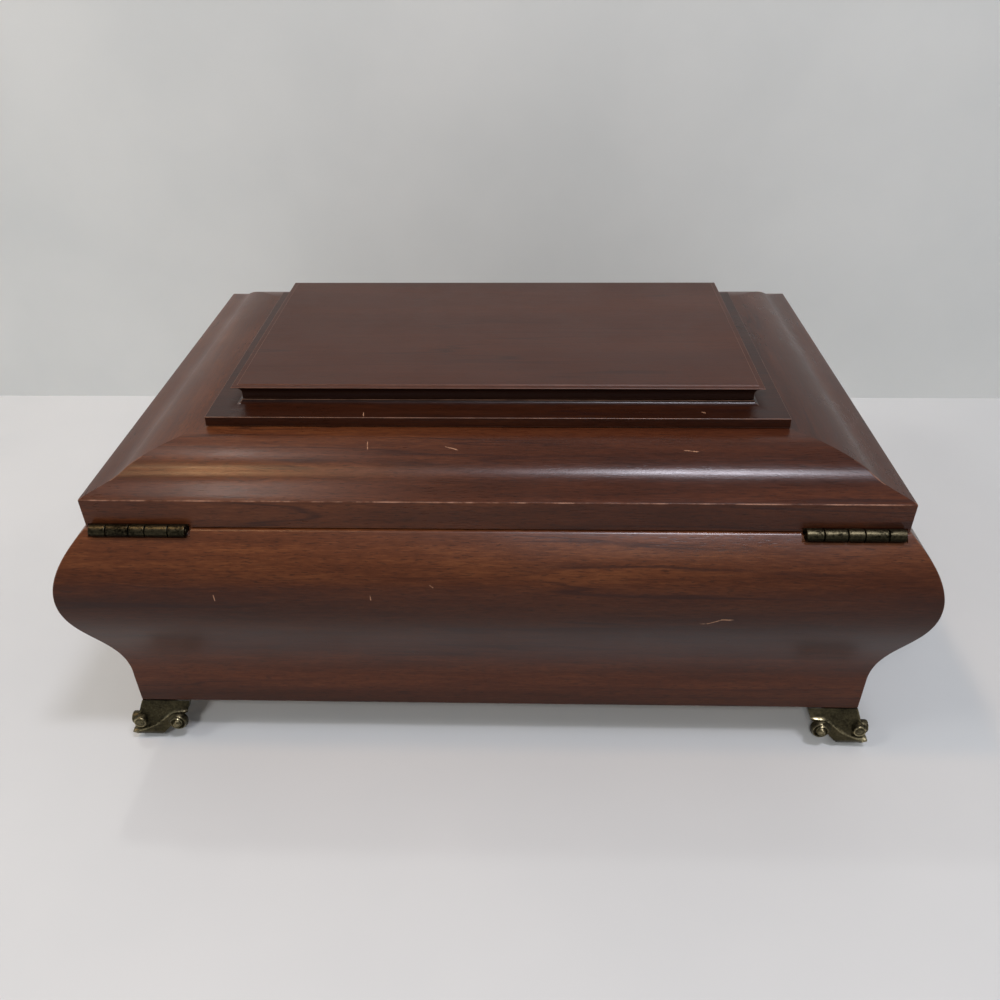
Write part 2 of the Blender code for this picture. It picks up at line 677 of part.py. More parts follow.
def make_feet():
    """A corner bracket: two wings that meet on the diagonal, a round toe, and a scroll at each wing's end."""
    climbing = FOOT_WING - FOOT_PAD
    stations = [0.0] + [FOOT_PAD + climbing * i / 7 for i in range(8)]
    bm = bmesh.new()
    loops = []
    for wing, order in ((0, reversed(stations)), (1, stations[1:])):
        for s in order:
            lean = max(0.0, 1 - s / 6.0)
            loop = []
            for n, z in foot_section(s):
                along = s - n * lean
                loop.append(bm.verts.new((along, -n, z) if wing == 0 else (-n, along, z)))
            loops.append(loop)
    for one, two in zip(loops, loops[1:]):
        for i in range(len(one)):
            bm.faces.new((one[i - 1], one[i], two[i], two[i - 1]))
    bm.faces.new(loops[0])
    bm.faces.new(loops[-1])
    whole = finished("foot_whole", bm, "antique_brass", smooth=True)
    for wing in (0, 1):
        for name, volute in (("toe", TOE_BUTTON), ("scroll", SCROLL)):
            disc = foot_disc(wing, *volute)
            fuse(whole, finished("foot_" + name + "_" + str(wing), disc, "antique_brass", smooth=True))
    top = FOOT_HEIGHT - GAP
    edge = FOOT_WALL / 2
    tab = sheet("Z", top - SCREW_TAB_THICKNESS, top - 0.1, [(edge, edge), (SCREW_TAB, edge), (edge, SCREW_TAB)],
                [circle(SCREW_PLACE, SCREW_PLACE, SCREW_HOLE, 12)])
    fuse(whole, finished("foot_tab", tab, "antique_brass"))
    helper(whole)
    bpy.context.view_layer.update()
    graph = bpy.context.evaluated_depsgraph_get()
    corner_x, corner_y = HALF_X + BASE_OUTSET, HALF_Y + BASE_OUTSET
    corners = (("front_left", -1, -1, 0), ("front_right", 1, -1, 1), ("back_right", 1, 1, 2), ("back_left", -1, 1, 3))
    for label, sign_x, sign_y, quarter in corners:
        mesh = bpy.data.meshes.new_from_object(whole.evaluated_get(graph))
        foot = placed("foot_" + label, mesh, "antique_brass", (sign_x * corner_x, sign_y * corner_y, 0), True)
        foot.rotation_euler = (0, 0, quarter * math.pi / 2)


def make_linings():
    x, y = INNER_X - GAP, INNER_Y - GAP
    top = BODY_TOP - LINING_DROP
    skin = [(0, FLOOR_Z), (0, top - 0.4), (0.4, top), (LINING - 0.4, top), (LINING, top - 0.4), (LINING, FLOOR_Z)]
    finished("wall_lining", framed(skin, x, y), "velvet")
    pads = (("main", (BAY_EDGE_X + PARTITION + GAP, -LINED_Y + GAP), (LINED_X - GAP, LINED_Y - GAP)),
            ("well", (-LINED_X + GAP, -LINED_Y + GAP), (BAY_EDGE_X - GAP, BAY_EDGE_Y - PARTITION - GAP)))
    for label, low, high in pads:
        pad = sheet("Z", FLOOR_Z, FLOOR_Z + LINING, rounded(low, high, 2.0, 3))
        softened(finished("floor_lining_" + label, pad, "velvet"), 0.5)


def make_partitions():
    top = BODY_TOP - PARTITION_DROP
    side = block((BAY_EDGE_X, TRAY_Y[0], FLOOR_Z), (BAY_EDGE_X + PARTITION, TRAY_Y[1], top))
    softened(finished("bay_side_partition", side, "velvet"), 0.6)
    front = block((-LINED_X + GAP, BAY_EDGE_Y - PARTITION, FLOOR_Z), (BAY_EDGE_X - GAP, BAY_EDGE_Y, top))
    softened(finished("bay_front_partition", front, "velvet"), 0.6)
    cover_x = (-LINED_X + GAP, BAY_EDGE_X - GAP)
    cover_y = (BAY_EDGE_Y + GAP, LINED_Y - GAP)
    rod_place = at(WORM_U, ROD_V, 0)
    hole = circle(rod_place[0], rod_place[1], ROD_RADIUS + 0.5, 14)
    cover = sheet("Z", COVER_BOTTOM, COVER_BOTTOM + COVER_THICKNESS,
                  rounded((cover_x[0], cover_y[0]), (cover_x[1], cover_y[1]), 1.0, 2), [hole])
    finished("movement_cover", cover, "clear_cover")
    for label, x in (("left", cover_x[0]), ("right", cover_x[1] - CLEAT)):
        cleat = block((x, cover_y[0], COVER_BOTTOM - GAP - CLEAT), (x + CLEAT, cover_y[1], COVER_BOTTOM - GAP))
        softened(finished("cover_cleat_" + label, cleat, "mahogany"), 0.4)
    clear = FLOOR_Z + LINING + GAP
    lower = block((LOWER_DIVIDER_X, TRAY_Y[0], clear),
                  (LOWER_DIVIDER_X + PARTITION, TRAY_Y[1], TRAY_BOTTOM - LOWER_DIVIDER_DROP))
    softened(finished("lower_divider", lower, "velvet"), 0.6)
    for label, y in (("front", TRAY_Y[0]), ("back", TRAY_Y[1] - CLEAT)):
        cleat = block((TRAY_X[0], y, TRAY_BOTTOM - GAP - CLEAT), (TRAY_X[1], y + CLEAT, TRAY_BOTTOM - GAP))
        softened(finished("tray_cleat_" + label, cleat, "mahogany"), 0.4)


def make_tray():
    (x0, x1), (y0, y1) = TRAY_X, TRAY_Y
    middle = ((x0 + x1) / 2, (y0 + y1) / 2)
    half = ((x1 - x0) / 2, (y1 - y0) / 2)
    rim = [(0, TRAY_BOTTOM), (0, TRAY_TOP - 0.5), (0.5, TRAY_TOP), (TRAY_WALL - 0.5, TRAY_TOP),
           (TRAY_WALL, TRAY_TOP - 0.5), (TRAY_WALL, TRAY_BOTTOM)]
    sides = framed(rim, *half)
    bmesh.ops.translate(sides, vec=(*middle, 0), verts=sides.verts)
    finished("tray_frame", sides, "velvet")
    edge = TRAY_WALL + GAP
    base = block((x0 + edge, y0 + edge, TRAY_BOTTOM), (x1 - edge, y1 - edge, TRAY_BOTTOM + TRAY_BASE))
    finished("tray_base", base, "velvet")
    inside = (x0 + edge, x1 - edge, y0 + edge, y1 - edge)
    floor = TRAY_BOTTOM + TRAY_BASE + GAP
    make_dividers(inside, floor)
    make_ring_cushion(inside, floor)
    make_ribbons(inside, floor)


def ring_edge(inside):
    return inside[2] + RING_ROLLS * RING_ROLL_WIDTH + GAP


def make_dividers(inside, floor):
    """One long divider behind the ring cushion, with short ones fused to it."""
    x0, x1, _, y1 = inside
    top = TRAY_TOP - DIVIDER_DROP
    y = ring_edge(inside)
    outline = [(x0, y), (x1, y), (x1, y + TRAY_WALL)]
    bay = (x1 - x0 - (TRAY_COMPARTMENTS - 1) * TRAY_WALL) / TRAY_COMPARTMENTS
    for number in range(TRAY_COMPARTMENTS - 1, 0, -1):
        right = x0 + number * (bay + TRAY_WALL)
        outline += [(right, y + TRAY_WALL), (right, y1), (right - TRAY_WALL, y1), (right - TRAY_WALL, y + TRAY_WALL)]
    outline.append((x0, y + TRAY_WALL))
    softened(finished("tray_dividers", sheet("Z", floor, top, outline), "velvet"), 0.5)


def make_ring_cushion(inside, floor):
    """Padded rolls side by side, with a slit for the rings between each two."""
    x0, x1, y0, _ = inside
    width = RING_ROLLS * RING_ROLL_WIDTH
    lengths, across = 15, 6 * RING_ROLLS
    bm = bmesh.new()
    grid = []
    for i in range(lengths + 1):
        t = i / lengths
        x = x0 + (x1 - x0) * (0.5 - 0.5 * math.cos(math.pi * t))
        end = min(1.0, 4.2 * math.sin(math.pi * t))
        row = []
        for j in range(across + 1):
            phase = (j % 6) / 6
            dome = math.sin(math.pi * phase) ** 0.55
            height = RING_CUSHION_HEIGHT * (0.55 + 0.45 * dome * (0.55 + 0.45 * end))
            row.append(bm.verts.new((x, y0 + width * j / across, floor + height)))
        grid.append(row)
    for one, two in zip(grid, grid[1:]):
        for j in range(across):
            bm.faces.new((one[j], one[j + 1], two[j + 1], two[j]))
    rim = [edge for edge in bm.edges if edge.is_boundary]
    grown = bmesh.ops.extrude_edge_only(bm, edges=rim)
    dropped = [v for v in grown["geom"] if isinstance(v, bmesh.types.BMVert)]
    for v in dropped:
        v.co.z = floor
    bmesh.ops.contextual_create(bm, geom=[e for e in bm.edges if e.is_boundary])
    finished("ring_cushion", bm, "velvet", smooth=True)


def make_ribbons(inside, floor):
    """A short loop at each end of the tray, to lift it by."""
    x0, x1, _, y1 = inside
    y = (ring_edge(inside) + TRAY_WALL + y1) / 2
    rise = TRAY_TOP + 3.2
    reach = 5.0
    for label, x, way in (("left", x0, 1), ("right", x1, -1)):
        outline = [(x, floor + 8.0), (x, rise - 2.0)]
        arc = 6
        for i in range(1, arc):
            t = math.pi * i / arc
            outline.append((x + way * reach / 2 * (1 - math.cos(t)), rise - 2.0 + 2.0 * math.sin(t)))
        outline += [(x + way * reach, rise - 2.0), (x + way * reach, floor + 12.0)]
        inner = []
        for a, b in reversed(outline):
            inner.append((x + way * RIBBON_THICKNESS + (a - x) * (1 - 2 * RIBBON_THICKNESS / reach),
                          b - (RIBBON_THICKNESS if b > rise - 2.0 + 0.01 else 0.0)))
        outline += inner
        loop = sheet("Y", y - RIBBON_WIDTH / 2, y + RIBBON_WIDTH / 2, outline)
        finished("tray_ribbon_" + label, loop, "satin_ribbon")


def gear_outline(teeth, tip, root, tip_width, root_width, phase=0.0):
    """A wheel's outline about the origin, with one tooth on the first axis turned by the phase."""
    points = []
    for tooth in range(teeth):
        middle = phase + 2 * math.pi * tooth / teeth
        for radius, width in ((root, -root_width), (tip, -tip_width), (tip, tip_width), (root, root_width)):
            angle = middle + width / 2 / radius
            points.append((radius * math.cos(angle), radius * math.sin(angle)))
    return points


def shifted(outline, a, b):
    return [(x + a, y + b) for x, y in outline]


def crown_pinion(u0, u1):
    """The pinion on the cylinder's arbor, which stands in the crown teeth with a gap at its lowest point."""
    outline = gear_outline(CROWN_PINION_TEETH, CROWN_PINION_RADIUS + CROWN_ADDENDUM,
                           CROWN_PINION_RADIUS - CROWN_DEDENDUM, 0.26 * CROWN_PITCH, 0.56 * CROWN_PITCH,
                           math.pi / CROWN_PINION_TEETH)
    return moved(sheet("X", u0, u1, shifted(outline, CYLINDER_V, CYLINDER_W)))


def make_bedplate():
    key_hole = circle(BARREL_U, CYLINDER_V, WINDING_RADIUS + RUNNING_GAP, 16)
    screws = [circle(u, v, 1.1, 10) for u in (BEDPLATE_U[0] + 2.6, BEDPLATE_U[1] - 2.6)
              for v in (BEDPLATE_V[0] + 2.6, BEDPLATE_V[1] - 2.6)]
    outline = rounded((BEDPLATE_U[0], BEDPLATE_V[0]), (BEDPLATE_U[1], BEDPLATE_V[1]), 2.5, 3)
    plate = moved(sheet("Z", 0, BEDPLATE_THICKNESS, outline, [key_hole, *screws[:3]]))
    bedplate = finished("bedplate", plate, "cast_zinc")
    top = CYLINDER_W + 3.0
    bearing = circle(CYLINDER_V, CYLINDER_W, ARBOR_RADIUS + RUNNING_GAP, 14)
    post = [(CYLINDER_V - 3.4, BEDPLATE_THICKNESS - 0.5), (CYLINDER_V + 3.4, BEDPLATE_THICKNESS - 0.5),
            (CYLINDER_V + 2.4, top), (CYLINDER_V - 2.4, top)]
    for label, u in (("left", CYLINDER_U[0] - GAP - 1.3), ("right", WHEEL_U[1] + 0.9)):
        standing = moved(sheet("X", u, u + 1.3, post, [bearing]))
        fuse(bedplate, finished("bearing_post_" + label, standing, "cast_zinc"))


def make_spring(barrel, winding):
    low, high = FLANGE_W
    flange = CROWN_RADIUS + CROWN_FACE / 2 + 0.1
    hole = WINDING_RADIUS + RUNNING_GAP
    case = [(hole, low), (flange, low), (flange, high), (CASE_RADIUS, high), (CASE_RADIUS, CASE_TOP),
            (CASE_RADIUS - CASE_WALL, CASE_TOP), (CASE_RADIUS - CASE_WALL, high), (hole, high)]
    centre = at(BARREL_U, CYLINDER_V, 0)
    drum = barrel.take("spring_barrel", turned(case, centre, steps=40), "brass", smooth=True)
    teeth = bmesh.new()
    for tooth in range(CROWN_TEETH):
        angle = 2 * math.pi * tooth / CROWN_TEETH
        corners = []
        for radius in (CROWN_RADIUS - CROWN_FACE / 2, CROWN_RADIUS + CROWN_FACE / 2):
            for share, w in ((0.56, high - 0.3), (0.26, CROWN_PITCH_W + CROWN_ADDENDUM)):
                half = share * CROWN_PITCH / 2 * radius / CROWN_RADIUS
                corners.append([Vector((radius, side * half, w)) for side in (-1, 1)])
        spin = Matrix.Rotation(angle, 3, "Z")
        (a, b), (c, d), (e, f), (g, h) = [[teeth.verts.new(spin @ p) for p in pair] for pair in corners]
        for face in ((a, b, d, c), (e, g, h, f), (a, c, g, e), (b, f, h, d), (c, d, h, g), (a, e, f, b)):
            teeth.faces.new(face)
    bmesh.ops.translate(teeth, vec=centre, verts=teeth.verts)
    fuse(drum, finished("crown_teeth", teeth, "brass"))
    cap = sleeve(hole, CASE_RADIUS - CASE_WALL - GAP, CASE_TOP - 1.2, CASE_TOP - 0.2)
    barrel.take("barrel_cap", turned(cap, centre, steps=32), "brass", smooth=True)
    make_mainspring(barrel, centre)
    make_winding(winding, centre)


def make_mainspring(barrel, centre):
    inner = WINDING_RADIUS + RUNNING_GAP + 0.3
    outer = CASE_RADIUS - CASE_WALL - GAP - SPRING_THICKNESS
    steps = 14 * SPRING_TURNS
    face, back = [], []
    for i in range(steps + 1):
        t = i / steps
        angle = 2 * math.pi * SPRING_TURNS * t
        r = inner + (outer - inner) * t
        face.append((r * math.cos(angle), r * math.sin(angle)))
        back.append(((r + SPRING_THICKNESS) * math.cos(angle), (r + SPRING_THICKNESS) * math.sin(angle)))
    outline = shifted(face + back[::-1], centre[0], centre[1])
    bottom = centre[2] + FLANGE_W[1] + GAP
    barrel.take("mainspring", sheet("Z", bottom, centre[2] + CASE_TOP - 1.2 - GAP, outline), "steel")


def make_winding(winding, centre):
    collar = WINDING_RADIUS + 1.2
    hub_top = PANEL_BOTTOM - 3 * GAP
    key_low = hub_top - KEY_DROP
    bore = WINDING_RADIUS + GAP
    seat = hub_top - 8.0
    arbor = [(0, seat + GAP), (WINDING_RADIUS, seat + GAP), (WINDING_RADIUS, FLOOR_Z + CASE_TOP + GAP),
             (collar, FLOOR_Z + CASE_TOP + GAP), (collar, FLOOR_Z + BRIDGE_W - GAP),
             (WINDING_RADIUS, FLOOR_Z + BRIDGE_W - GAP), (WINDING_RADIUS, FLOOR_Z + BRIDGE_W + BRIDGE_THICKNESS + 0.6),
             (0, FLOOR_Z + BRIDGE_W + BRIDGE_THICKNESS + 0.6)]
    axis = (centre[0], centre[1], 0)
    winding.take("winding_arbor", turned(arbor, axis, steps=16, closed=False), "steel", smooth=True)
    hub = [(0, key_low + 2.0), (KEY_HUB_RADIUS, key_low + 2.0), (KEY_HUB_RADIUS, hub_top), (bore, hub_top),
           (bore, seat), (0, seat)]
    key = winding.take("winding_key", turned(hub, axis, steps=20, closed=False), "brass", smooth=True)
    wing_z = key_low + 4.6
    for side in (-1, 1):
        middle = (centre[0] + side * (KEY_WING - 4.6), wing_z)
        ring = circle(middle[0], middle[1], 4.6, 20)
        wing = sheet("Y", centre[1] - KEY_THICKNESS / 2, centre[1] + KEY_THICKNESS / 2, ring,
                     [circle(middle[0] + side * 0.8, middle[1], 2.0, 12)])
        fuse(key, finished("key_wing_" + ("left" if side < 0 else "right"), wing, "brass"))


def make_bridge():
    low, high = BRIDGE_W, BRIDGE_W + BRIDGE_THICKNESS
    half = 3.2
    outline = rounded((BARREL_U - half, CYLINDER_V - BRIDGE_REACH - half),
                      (BARREL_U + half, CYLINDER_V + BRIDGE_REACH + half), half - 0.01, 5)
    hole = circle(BARREL_U, CYLINDER_V, WINDING_RADIUS + RUNNING_GAP, 16)
    bridge = finished("spring_bridge", moved(sheet("Z", low, high, outline, [hole])), "cast_zinc")
    for label, side in (("front", -1), ("back", 1)):
        foot = at(BARREL_U, CYLINDER_V + side * BRIDGE_REACH, 0)
        pillar = turned(rod(PILLAR_RADIUS, BEDPLATE_THICKNESS + GAP, low + 0.5), foot, steps=14, closed=False)
        fuse(bridge, finished("bridge_pillar_" + label, pillar, "cast_zinc", smooth=True))


def make_cylinder(spin):
    axis = at(0, CYLINDER_V, CYLINDER_W)
    left = BARREL_U + CROWN_RADIUS - CROWN_FACE / 2
    right = WHEEL_U[1] + 0.9 + 1.3 + 0.4
    shaft = turned(rod(ARBOR_RADIUS, left - 0.4, right), axis, "X", 14, False)
    arbor = spin.take("cylinder_arbor", shaft, "steel", smooth=True)
    fuse(arbor, finished("crown_pinion", crown_pinion(left, left + CROWN_FACE), "steel"))
    bore = ARBOR_RADIUS + GAP
    drum = turned(sleeve(bore, CYLINDER_RADIUS, *CYLINDER_U), axis, "X", 36)
    cylinder = spin.take("music_cylinder", drum, "brass", smooth=True)
    fuse(cylinder, finished("tune_pins", tune_pins(axis), "brass"))
    outline = gear_outline(WHEEL_TEETH, WHEEL_RADIUS + 0.5, WHEEL_RADIUS - 0.66, 0.42, 0.95)
    hole = circle(CYLINDER_V, CYLINDER_W, bore, 14)
    wheel = moved(sheet("X", *WHEEL_U, shifted(outline, CYLINDER_V, CYLINDER_W), [hole]))
    spin.take("cylinder_wheel", wheel, "brass")


def note_u(note):
    return (sum(CYLINDER_U) - NOTE_PITCH * (NOTES - 1)) / 2 + NOTE_PITCH * note


def tune_pins(axis):
    """Small pegs round the cylinder, one row of places for each note of the comb."""
    tune = random.Random(18)
    places = sorted(tune.sample([(note, beat) for note in range(NOTES) for beat in range(BEATS)], PINS))
    bm = bmesh.new()
    for note, beat in places:
        angle = 2 * math.pi * (beat + 0.37 * (note % 3)) / BEATS
        lift = CYLINDER_RADIUS + (PIN_LENGTH - 0.4) / 2
        turn = Matrix.Rotation(angle, 4, "X")
        place = Matrix.Translation(Vector(axis) + Vector((note_u(note), 0, 0))) @ turn
        bmesh.ops.create_cone(bm, cap_ends=True, segments=4, radius1=0.24, radius2=0.15, depth=PIN_LENGTH + 0.4,
                              matrix=place @ Matrix.Translation((0, 0, lift)))
    return bm


def make_comb():
    tip = CYLINDER_V - CYLINDER_RADIUS - PIN_LENGTH - COMB_TIP_GAP
    low = CYLINDER_W - COMB_THICKNESS / 2
    half = COMB_TOOTH / 2
    left, right = note_u(0) - half - COMB_MARGIN, note_u(NOTES - 1) + half + COMB_MARGIN
    outline = [(right, COMB_BACK), (left, COMB_BACK), (left, COMB_BACK + COMB_ROOT)]
    for note in range(NOTES):
        u = note_u(note)
        root = COMB_BACK + COMB_ROOT + COMB_ROOT_RUN * note / (NOTES - 1)
        outline += [(u - half, root), (u - half * 0.8, tip), (u + half * 0.8, tip), (u + half, root)]
    outline.append((right, COMB_BACK + COMB_ROOT + COMB_ROOT_RUN))
    screws = [circle(note_u(n), COMB_BACK + COMB_SCREW_SET, COMB_SCREW_HOLE, 10) for n in COMB_SCREWS]
    finished("comb", moved(sheet("Z", low, low + COMB_THICKNESS, outline, screws)), "steel")
    base_low = at(left, COMB_BACK, BEDPLATE_THICKNESS + GAP)
    base_high = at(right, COMB_BACK + COMB_BASE_DEPTH, low - GAP)
    softened(finished("comb_base", block(base_low, base_high), "cast_zinc"), 0.4)


def make_governor(arbor_spin, fly_spin):
    floor_low = BEDPLATE_THICKNESS + GAP
    floor_high = floor_low + 1.0
    left, right = CHEEK_U
    bearing = circle(GOVERNOR_V, CYLINDER_W, GOVERNOR_ARBOR_RADIUS + RUNNING_GAP, 12)
    inner = GOVERNOR_V - 1.5
    arm = (WORM_V - 1.4, WORM_V + 1.4)
    low, middle, high = [CYLINDER_W + step for step in CHEEK_STEPS]
    outer = BEDPLATE_V[1] - GAP
    tall = [(inner, floor_low), (outer, floor_low), (outer, low), (arm[1], middle), (arm[1], GOVERNOR_TOP),
            (arm[0], GOVERNOR_TOP), (arm[0], high), (inner, high)]
    frame = finished("governor_frame", moved(sheet("X", left, left + CHEEK, tall, [bearing])), "brass")
    short = [(inner, floor_low), (GOVERNOR_V + 3.0, floor_low), (GOVERNOR_V + 1.8, CYLINDER_W + 2.2),
             (inner, CYLINDER_W + 2.2)]
    cheek = moved(sheet("X", right, right + CHEEK, short, [bearing]))
    floor = sheet("Z", floor_low, floor_high, [(left + 0.4, inner), (right + CHEEK - 0.4, inner),
                                               (right + CHEEK - 0.4, outer - 0.3),
                                               (left + 0.4, outer - 0.3)])
    hole = circle(WORM_U, WORM_V, SPINDLE_RADIUS + RUNNING_GAP, 10)
    cap = sheet("Z", GOVERNOR_TOP - 1.2, GOVERNOR_TOP, [(left + 0.4, arm[0] + 0.1), (WORM_U + 1.7, arm[0] + 0.1),
                                                       (WORM_U + 1.7, arm[1] - 0.1), (left + 0.4, arm[1] - 0.1)],
                [hole])
    fuse(frame, finished("governor_cheek", cheek, "brass"), finished("governor_floor", moved(floor), "brass"),
         finished("governor_cap", moved(cap), "brass"))
    axis = at(0, GOVERNOR_V, CYLINDER_W)
    shaft = turned(rod(GOVERNOR_ARBOR_RADIUS, left - 0.2, right + CHEEK + 0.2), axis, "X", 12, False)
    arbor = arbor_spin.take("governor_arbor", shaft, "governor_plastic", smooth=True)
    pinion = gear_outline(PINION_TEETH, PINION_RADIUS + 0.45, PINION_RADIUS - 0.7, 0.4, 0.78,
                          math.pi + math.pi / PINION_TEETH)
    worm_wheel = gear_outline(WORM_WHEEL_TEETH, WORM_WHEEL_RADIUS + 0.35, WORM_WHEEL_RADIUS - 0.55, 0.3, 0.78)
    for label, outline, (u0, u1) in (("governor_pinion", pinion, (WHEEL_U[0], WHEEL_U[1] + 0.4)),
                                     ("worm_wheel", worm_wheel, WORM_WHEEL_U)):
        wheel = moved(sheet("X", u0, u1, shifted(outline, GOVERNOR_V, CYLINDER_W)))
        fuse(arbor, finished(label, wheel, "governor_plastic"))
    make_fly(fly_spin, floor_high)


def make_fly(fly_spin, floor_high):
    """One moulding: spindle, worm, two fan blades and the disc that the stop rod presses on."""
    centre = at(WORM_U, WORM_V, 0)
    spindle = [(0, floor_high + GAP), (SPINDLE_RADIUS, floor_high + GAP), (SPINDLE_RADIUS, WORM_W[0]),
               (WORM_RADIUS - 0.5, WORM_W[0]), (WORM_RADIUS - 0.5, WORM_W[1]), (SPINDLE_RADIUS, WORM_W[1]),
               (SPINDLE_RADIUS, DISC_W[0]), (FLY_RADIUS, DISC_W[0]), (FLY_RADIUS, DISC_W[1]),
               (SPINDLE_RADIUS, DISC_W[1]), (SPINDLE_RADIUS, GOVERNOR_TOP - 0.2), (0, GOVERNOR_TOP - 0.2)]
    fly = fly_spin.take("governor_fly", turned(spindle, centre, steps=16, closed=False), "governor_plastic",
                        smooth=True)
    fuse(fly, finished("worm_thread", worm_thread(centre), "governor_plastic"))
    blade = moved(block((WORM_U - FLY_RADIUS, WORM_V - 0.25, FLY_W[0]), (WORM_U + FLY_RADIUS, WORM_V + 0.25, FLY_W[1])))
    fuse(fly, finished("fly_blades", blade, "governor_plastic"))


def worm_thread(centre):
    """A right-handed thread with a gap at the worm wheel's tooth, and its turns one tooth apart."""
    lead = math.pi * WORM_MODULE
    turns = 3
    tip, root = WORM_RADIUS + 0.35, WORM_RADIUS - 0.7
    start = CYLINDER_W - lead / 4 - lead
    bm = bmesh.new()
    corners = [bm.verts.new(p) for p in ((root, 0, -0.36), (tip, 0, -0.16), (tip, 0, 0.16), (root, 0, 0.36))]
    face = bm.faces.new(corners)
    steps = 12 * turns
    bmesh.ops.spin(bm, geom=[face], cent=(0, 0, 0), axis=(0, 0, 1), dvec=(0, 0, lead * turns / steps),
                   angle=2 * math.pi * turns, steps=steps, use_merge=False)
    bmesh.ops.translate(bm, vec=(centre[0], centre[1], centre[2] + start), verts=bm.verts)
    return bm


def make_stop_rod(rising):
    x, y, _ = at(WORM_U, ROD_V, 0)
    low = FLOOR_Z + DISC_W[1] + GAP
    high = RECESS_TOP - GAP - LID_LINING_THICKNESS - 2 * GAP
    tip = 0.3
    shape = [(0, low), (ROD_RADIUS, low), (ROD_RADIUS, high - tip), (ROD_RADIUS - tip, high), (0, high)]
    rising.take("stop_rod", turned(shape, (x, y, 0), steps=14, closed=False), "brass", smooth=True)
    top = TRAY_TOP - GUIDE_DROP
    left, right = x - GUIDE_WIDTH / 2, x + GUIDE_WIDTH / 2
    back = LINED_Y - GAP
    hole = circle(x, y, ROD_RADIUS + RUNNING_GAP, 12)
    outline = [(left, y - GUIDE_EDGE), (right, y - GUIDE_EDGE), (right, back), (left, back)]
    shelf = sheet("Z", top - GUIDE_THICKNESS, top, outline, [hole])
    guide = finished("stop_rod_guide", shelf, "brass")
    plate = block((left, back - GUIDE_THICKNESS, top - GUIDE_PLATE), (right, back, top - GUIDE_THICKNESS / 2))
    fuse(guide, finished("guide_plate", plate, "brass"))


class Mover:
    """The pieces that move on one joint, gathered under an empty on its axis."""

    def __init__(self, name, place):
        self.place = place
        self.empty = pivot(name, place)

    def take(self, name, bm, finish, smooth=False):
        return finished(name, bm, finish, self.place, smooth, self.empty)


def main():
    clear_scene()
    lid = Mover("lid_pivot", (0, HINGE_Y, HINGE_Z))
    barrel = Mover("barrel_pivot", at(BARREL_U, CYLINDER_V, 0))
    winding = Mover("winding_pivot", at(BARREL_U, CYLINDER_V, 0))
    cylinder = Mover("cylinder_pivot", at(0, CYLINDER_V, CYLINDER_W))
    governor = Mover("governor_pivot", at(0, GOVERNOR_V, CYLINDER_W))
    fly = Mover("fly_pivot", at(WORM_U, WORM_V, 0))
    rising = Mover("stop_rod_pivot", at(WORM_U, ROD_V, 0))
    left, right = hinge_cutters("left", -1), hinge_cutters("right", 1)
    cutters = {"front": (), "back": left + right, "left": left, "right": right}
    make_body(cutters)
    make_lid(lid, cutters)
    make_hinge("left", -1, lid)
    make_hinge("right", 1, lid)
    make_feet()
    make_linings()
    make_partitions()
    make_tray()
    make_bedplate()
    make_spring(barrel, winding)
    make_bridge()
    make_cylinder(cylinder)
    make_comb()
    make_governor(governor, fly)
    make_stop_rod(rising)


main()
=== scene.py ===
import json
import math

import bmesh
import bpy
from mathutils import Matrix, Vector

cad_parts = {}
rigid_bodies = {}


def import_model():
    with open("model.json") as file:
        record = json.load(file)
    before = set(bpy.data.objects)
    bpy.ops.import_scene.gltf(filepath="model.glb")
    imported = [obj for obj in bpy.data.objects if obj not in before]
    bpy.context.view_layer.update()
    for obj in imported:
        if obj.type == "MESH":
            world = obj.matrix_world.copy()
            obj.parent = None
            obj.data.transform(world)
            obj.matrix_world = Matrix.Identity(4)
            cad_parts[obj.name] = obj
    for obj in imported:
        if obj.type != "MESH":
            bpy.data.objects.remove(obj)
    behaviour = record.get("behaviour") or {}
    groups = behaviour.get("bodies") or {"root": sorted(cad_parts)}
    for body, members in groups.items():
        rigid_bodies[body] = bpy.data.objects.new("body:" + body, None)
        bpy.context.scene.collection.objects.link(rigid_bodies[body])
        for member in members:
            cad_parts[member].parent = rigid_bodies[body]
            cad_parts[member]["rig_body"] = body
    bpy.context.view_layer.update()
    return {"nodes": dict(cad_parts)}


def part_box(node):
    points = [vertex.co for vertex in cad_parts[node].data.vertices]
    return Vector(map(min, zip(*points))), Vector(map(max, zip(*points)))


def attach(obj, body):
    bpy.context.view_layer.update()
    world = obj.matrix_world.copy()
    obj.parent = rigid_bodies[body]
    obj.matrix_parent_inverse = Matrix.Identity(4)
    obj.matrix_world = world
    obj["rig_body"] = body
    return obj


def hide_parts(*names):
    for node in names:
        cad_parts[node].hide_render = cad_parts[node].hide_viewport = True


# The looks of a wooden jewelry box with a music movement inside. Lengths are in millimetres until a
# piece is finished. +Y is the side with the hinges, which the camera faces.
MM = 0.001
IN_MILLIMETRES = (1000, 1000, 1000)

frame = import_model()
NODES = frame["nodes"]

# The same sizes as the solids
GAP = 0.3
RIM_HALF = (135.0, 96.5)
FOOT_TOP = 15.9
BODY_BOTTOM = 16.2
BODY_TOP = 94.8
LID_BOTTOM = 95.1
RIM_TOP = 105.7
OGEE_TOP = 114.9
RECESS_TOP = 103.0
PLINTH_BOTTOM = 115.2
PLINTH_TOP = 120.4
PANEL_BOTTOM = 120.7
PANEL_TOP = 126.5
FLOOR_Z = 23.3
HINGE_AXIS = (98.0, 94.95)
HINGE_INNER_END = 100.8
HINGE_LENGTH = 31.8
KNUCKLES = (5.6, 7.6, 5.4, 7.6, 5.6)
BARREL_RADIUS = 2.15
PIN_RADIUS = 1.0

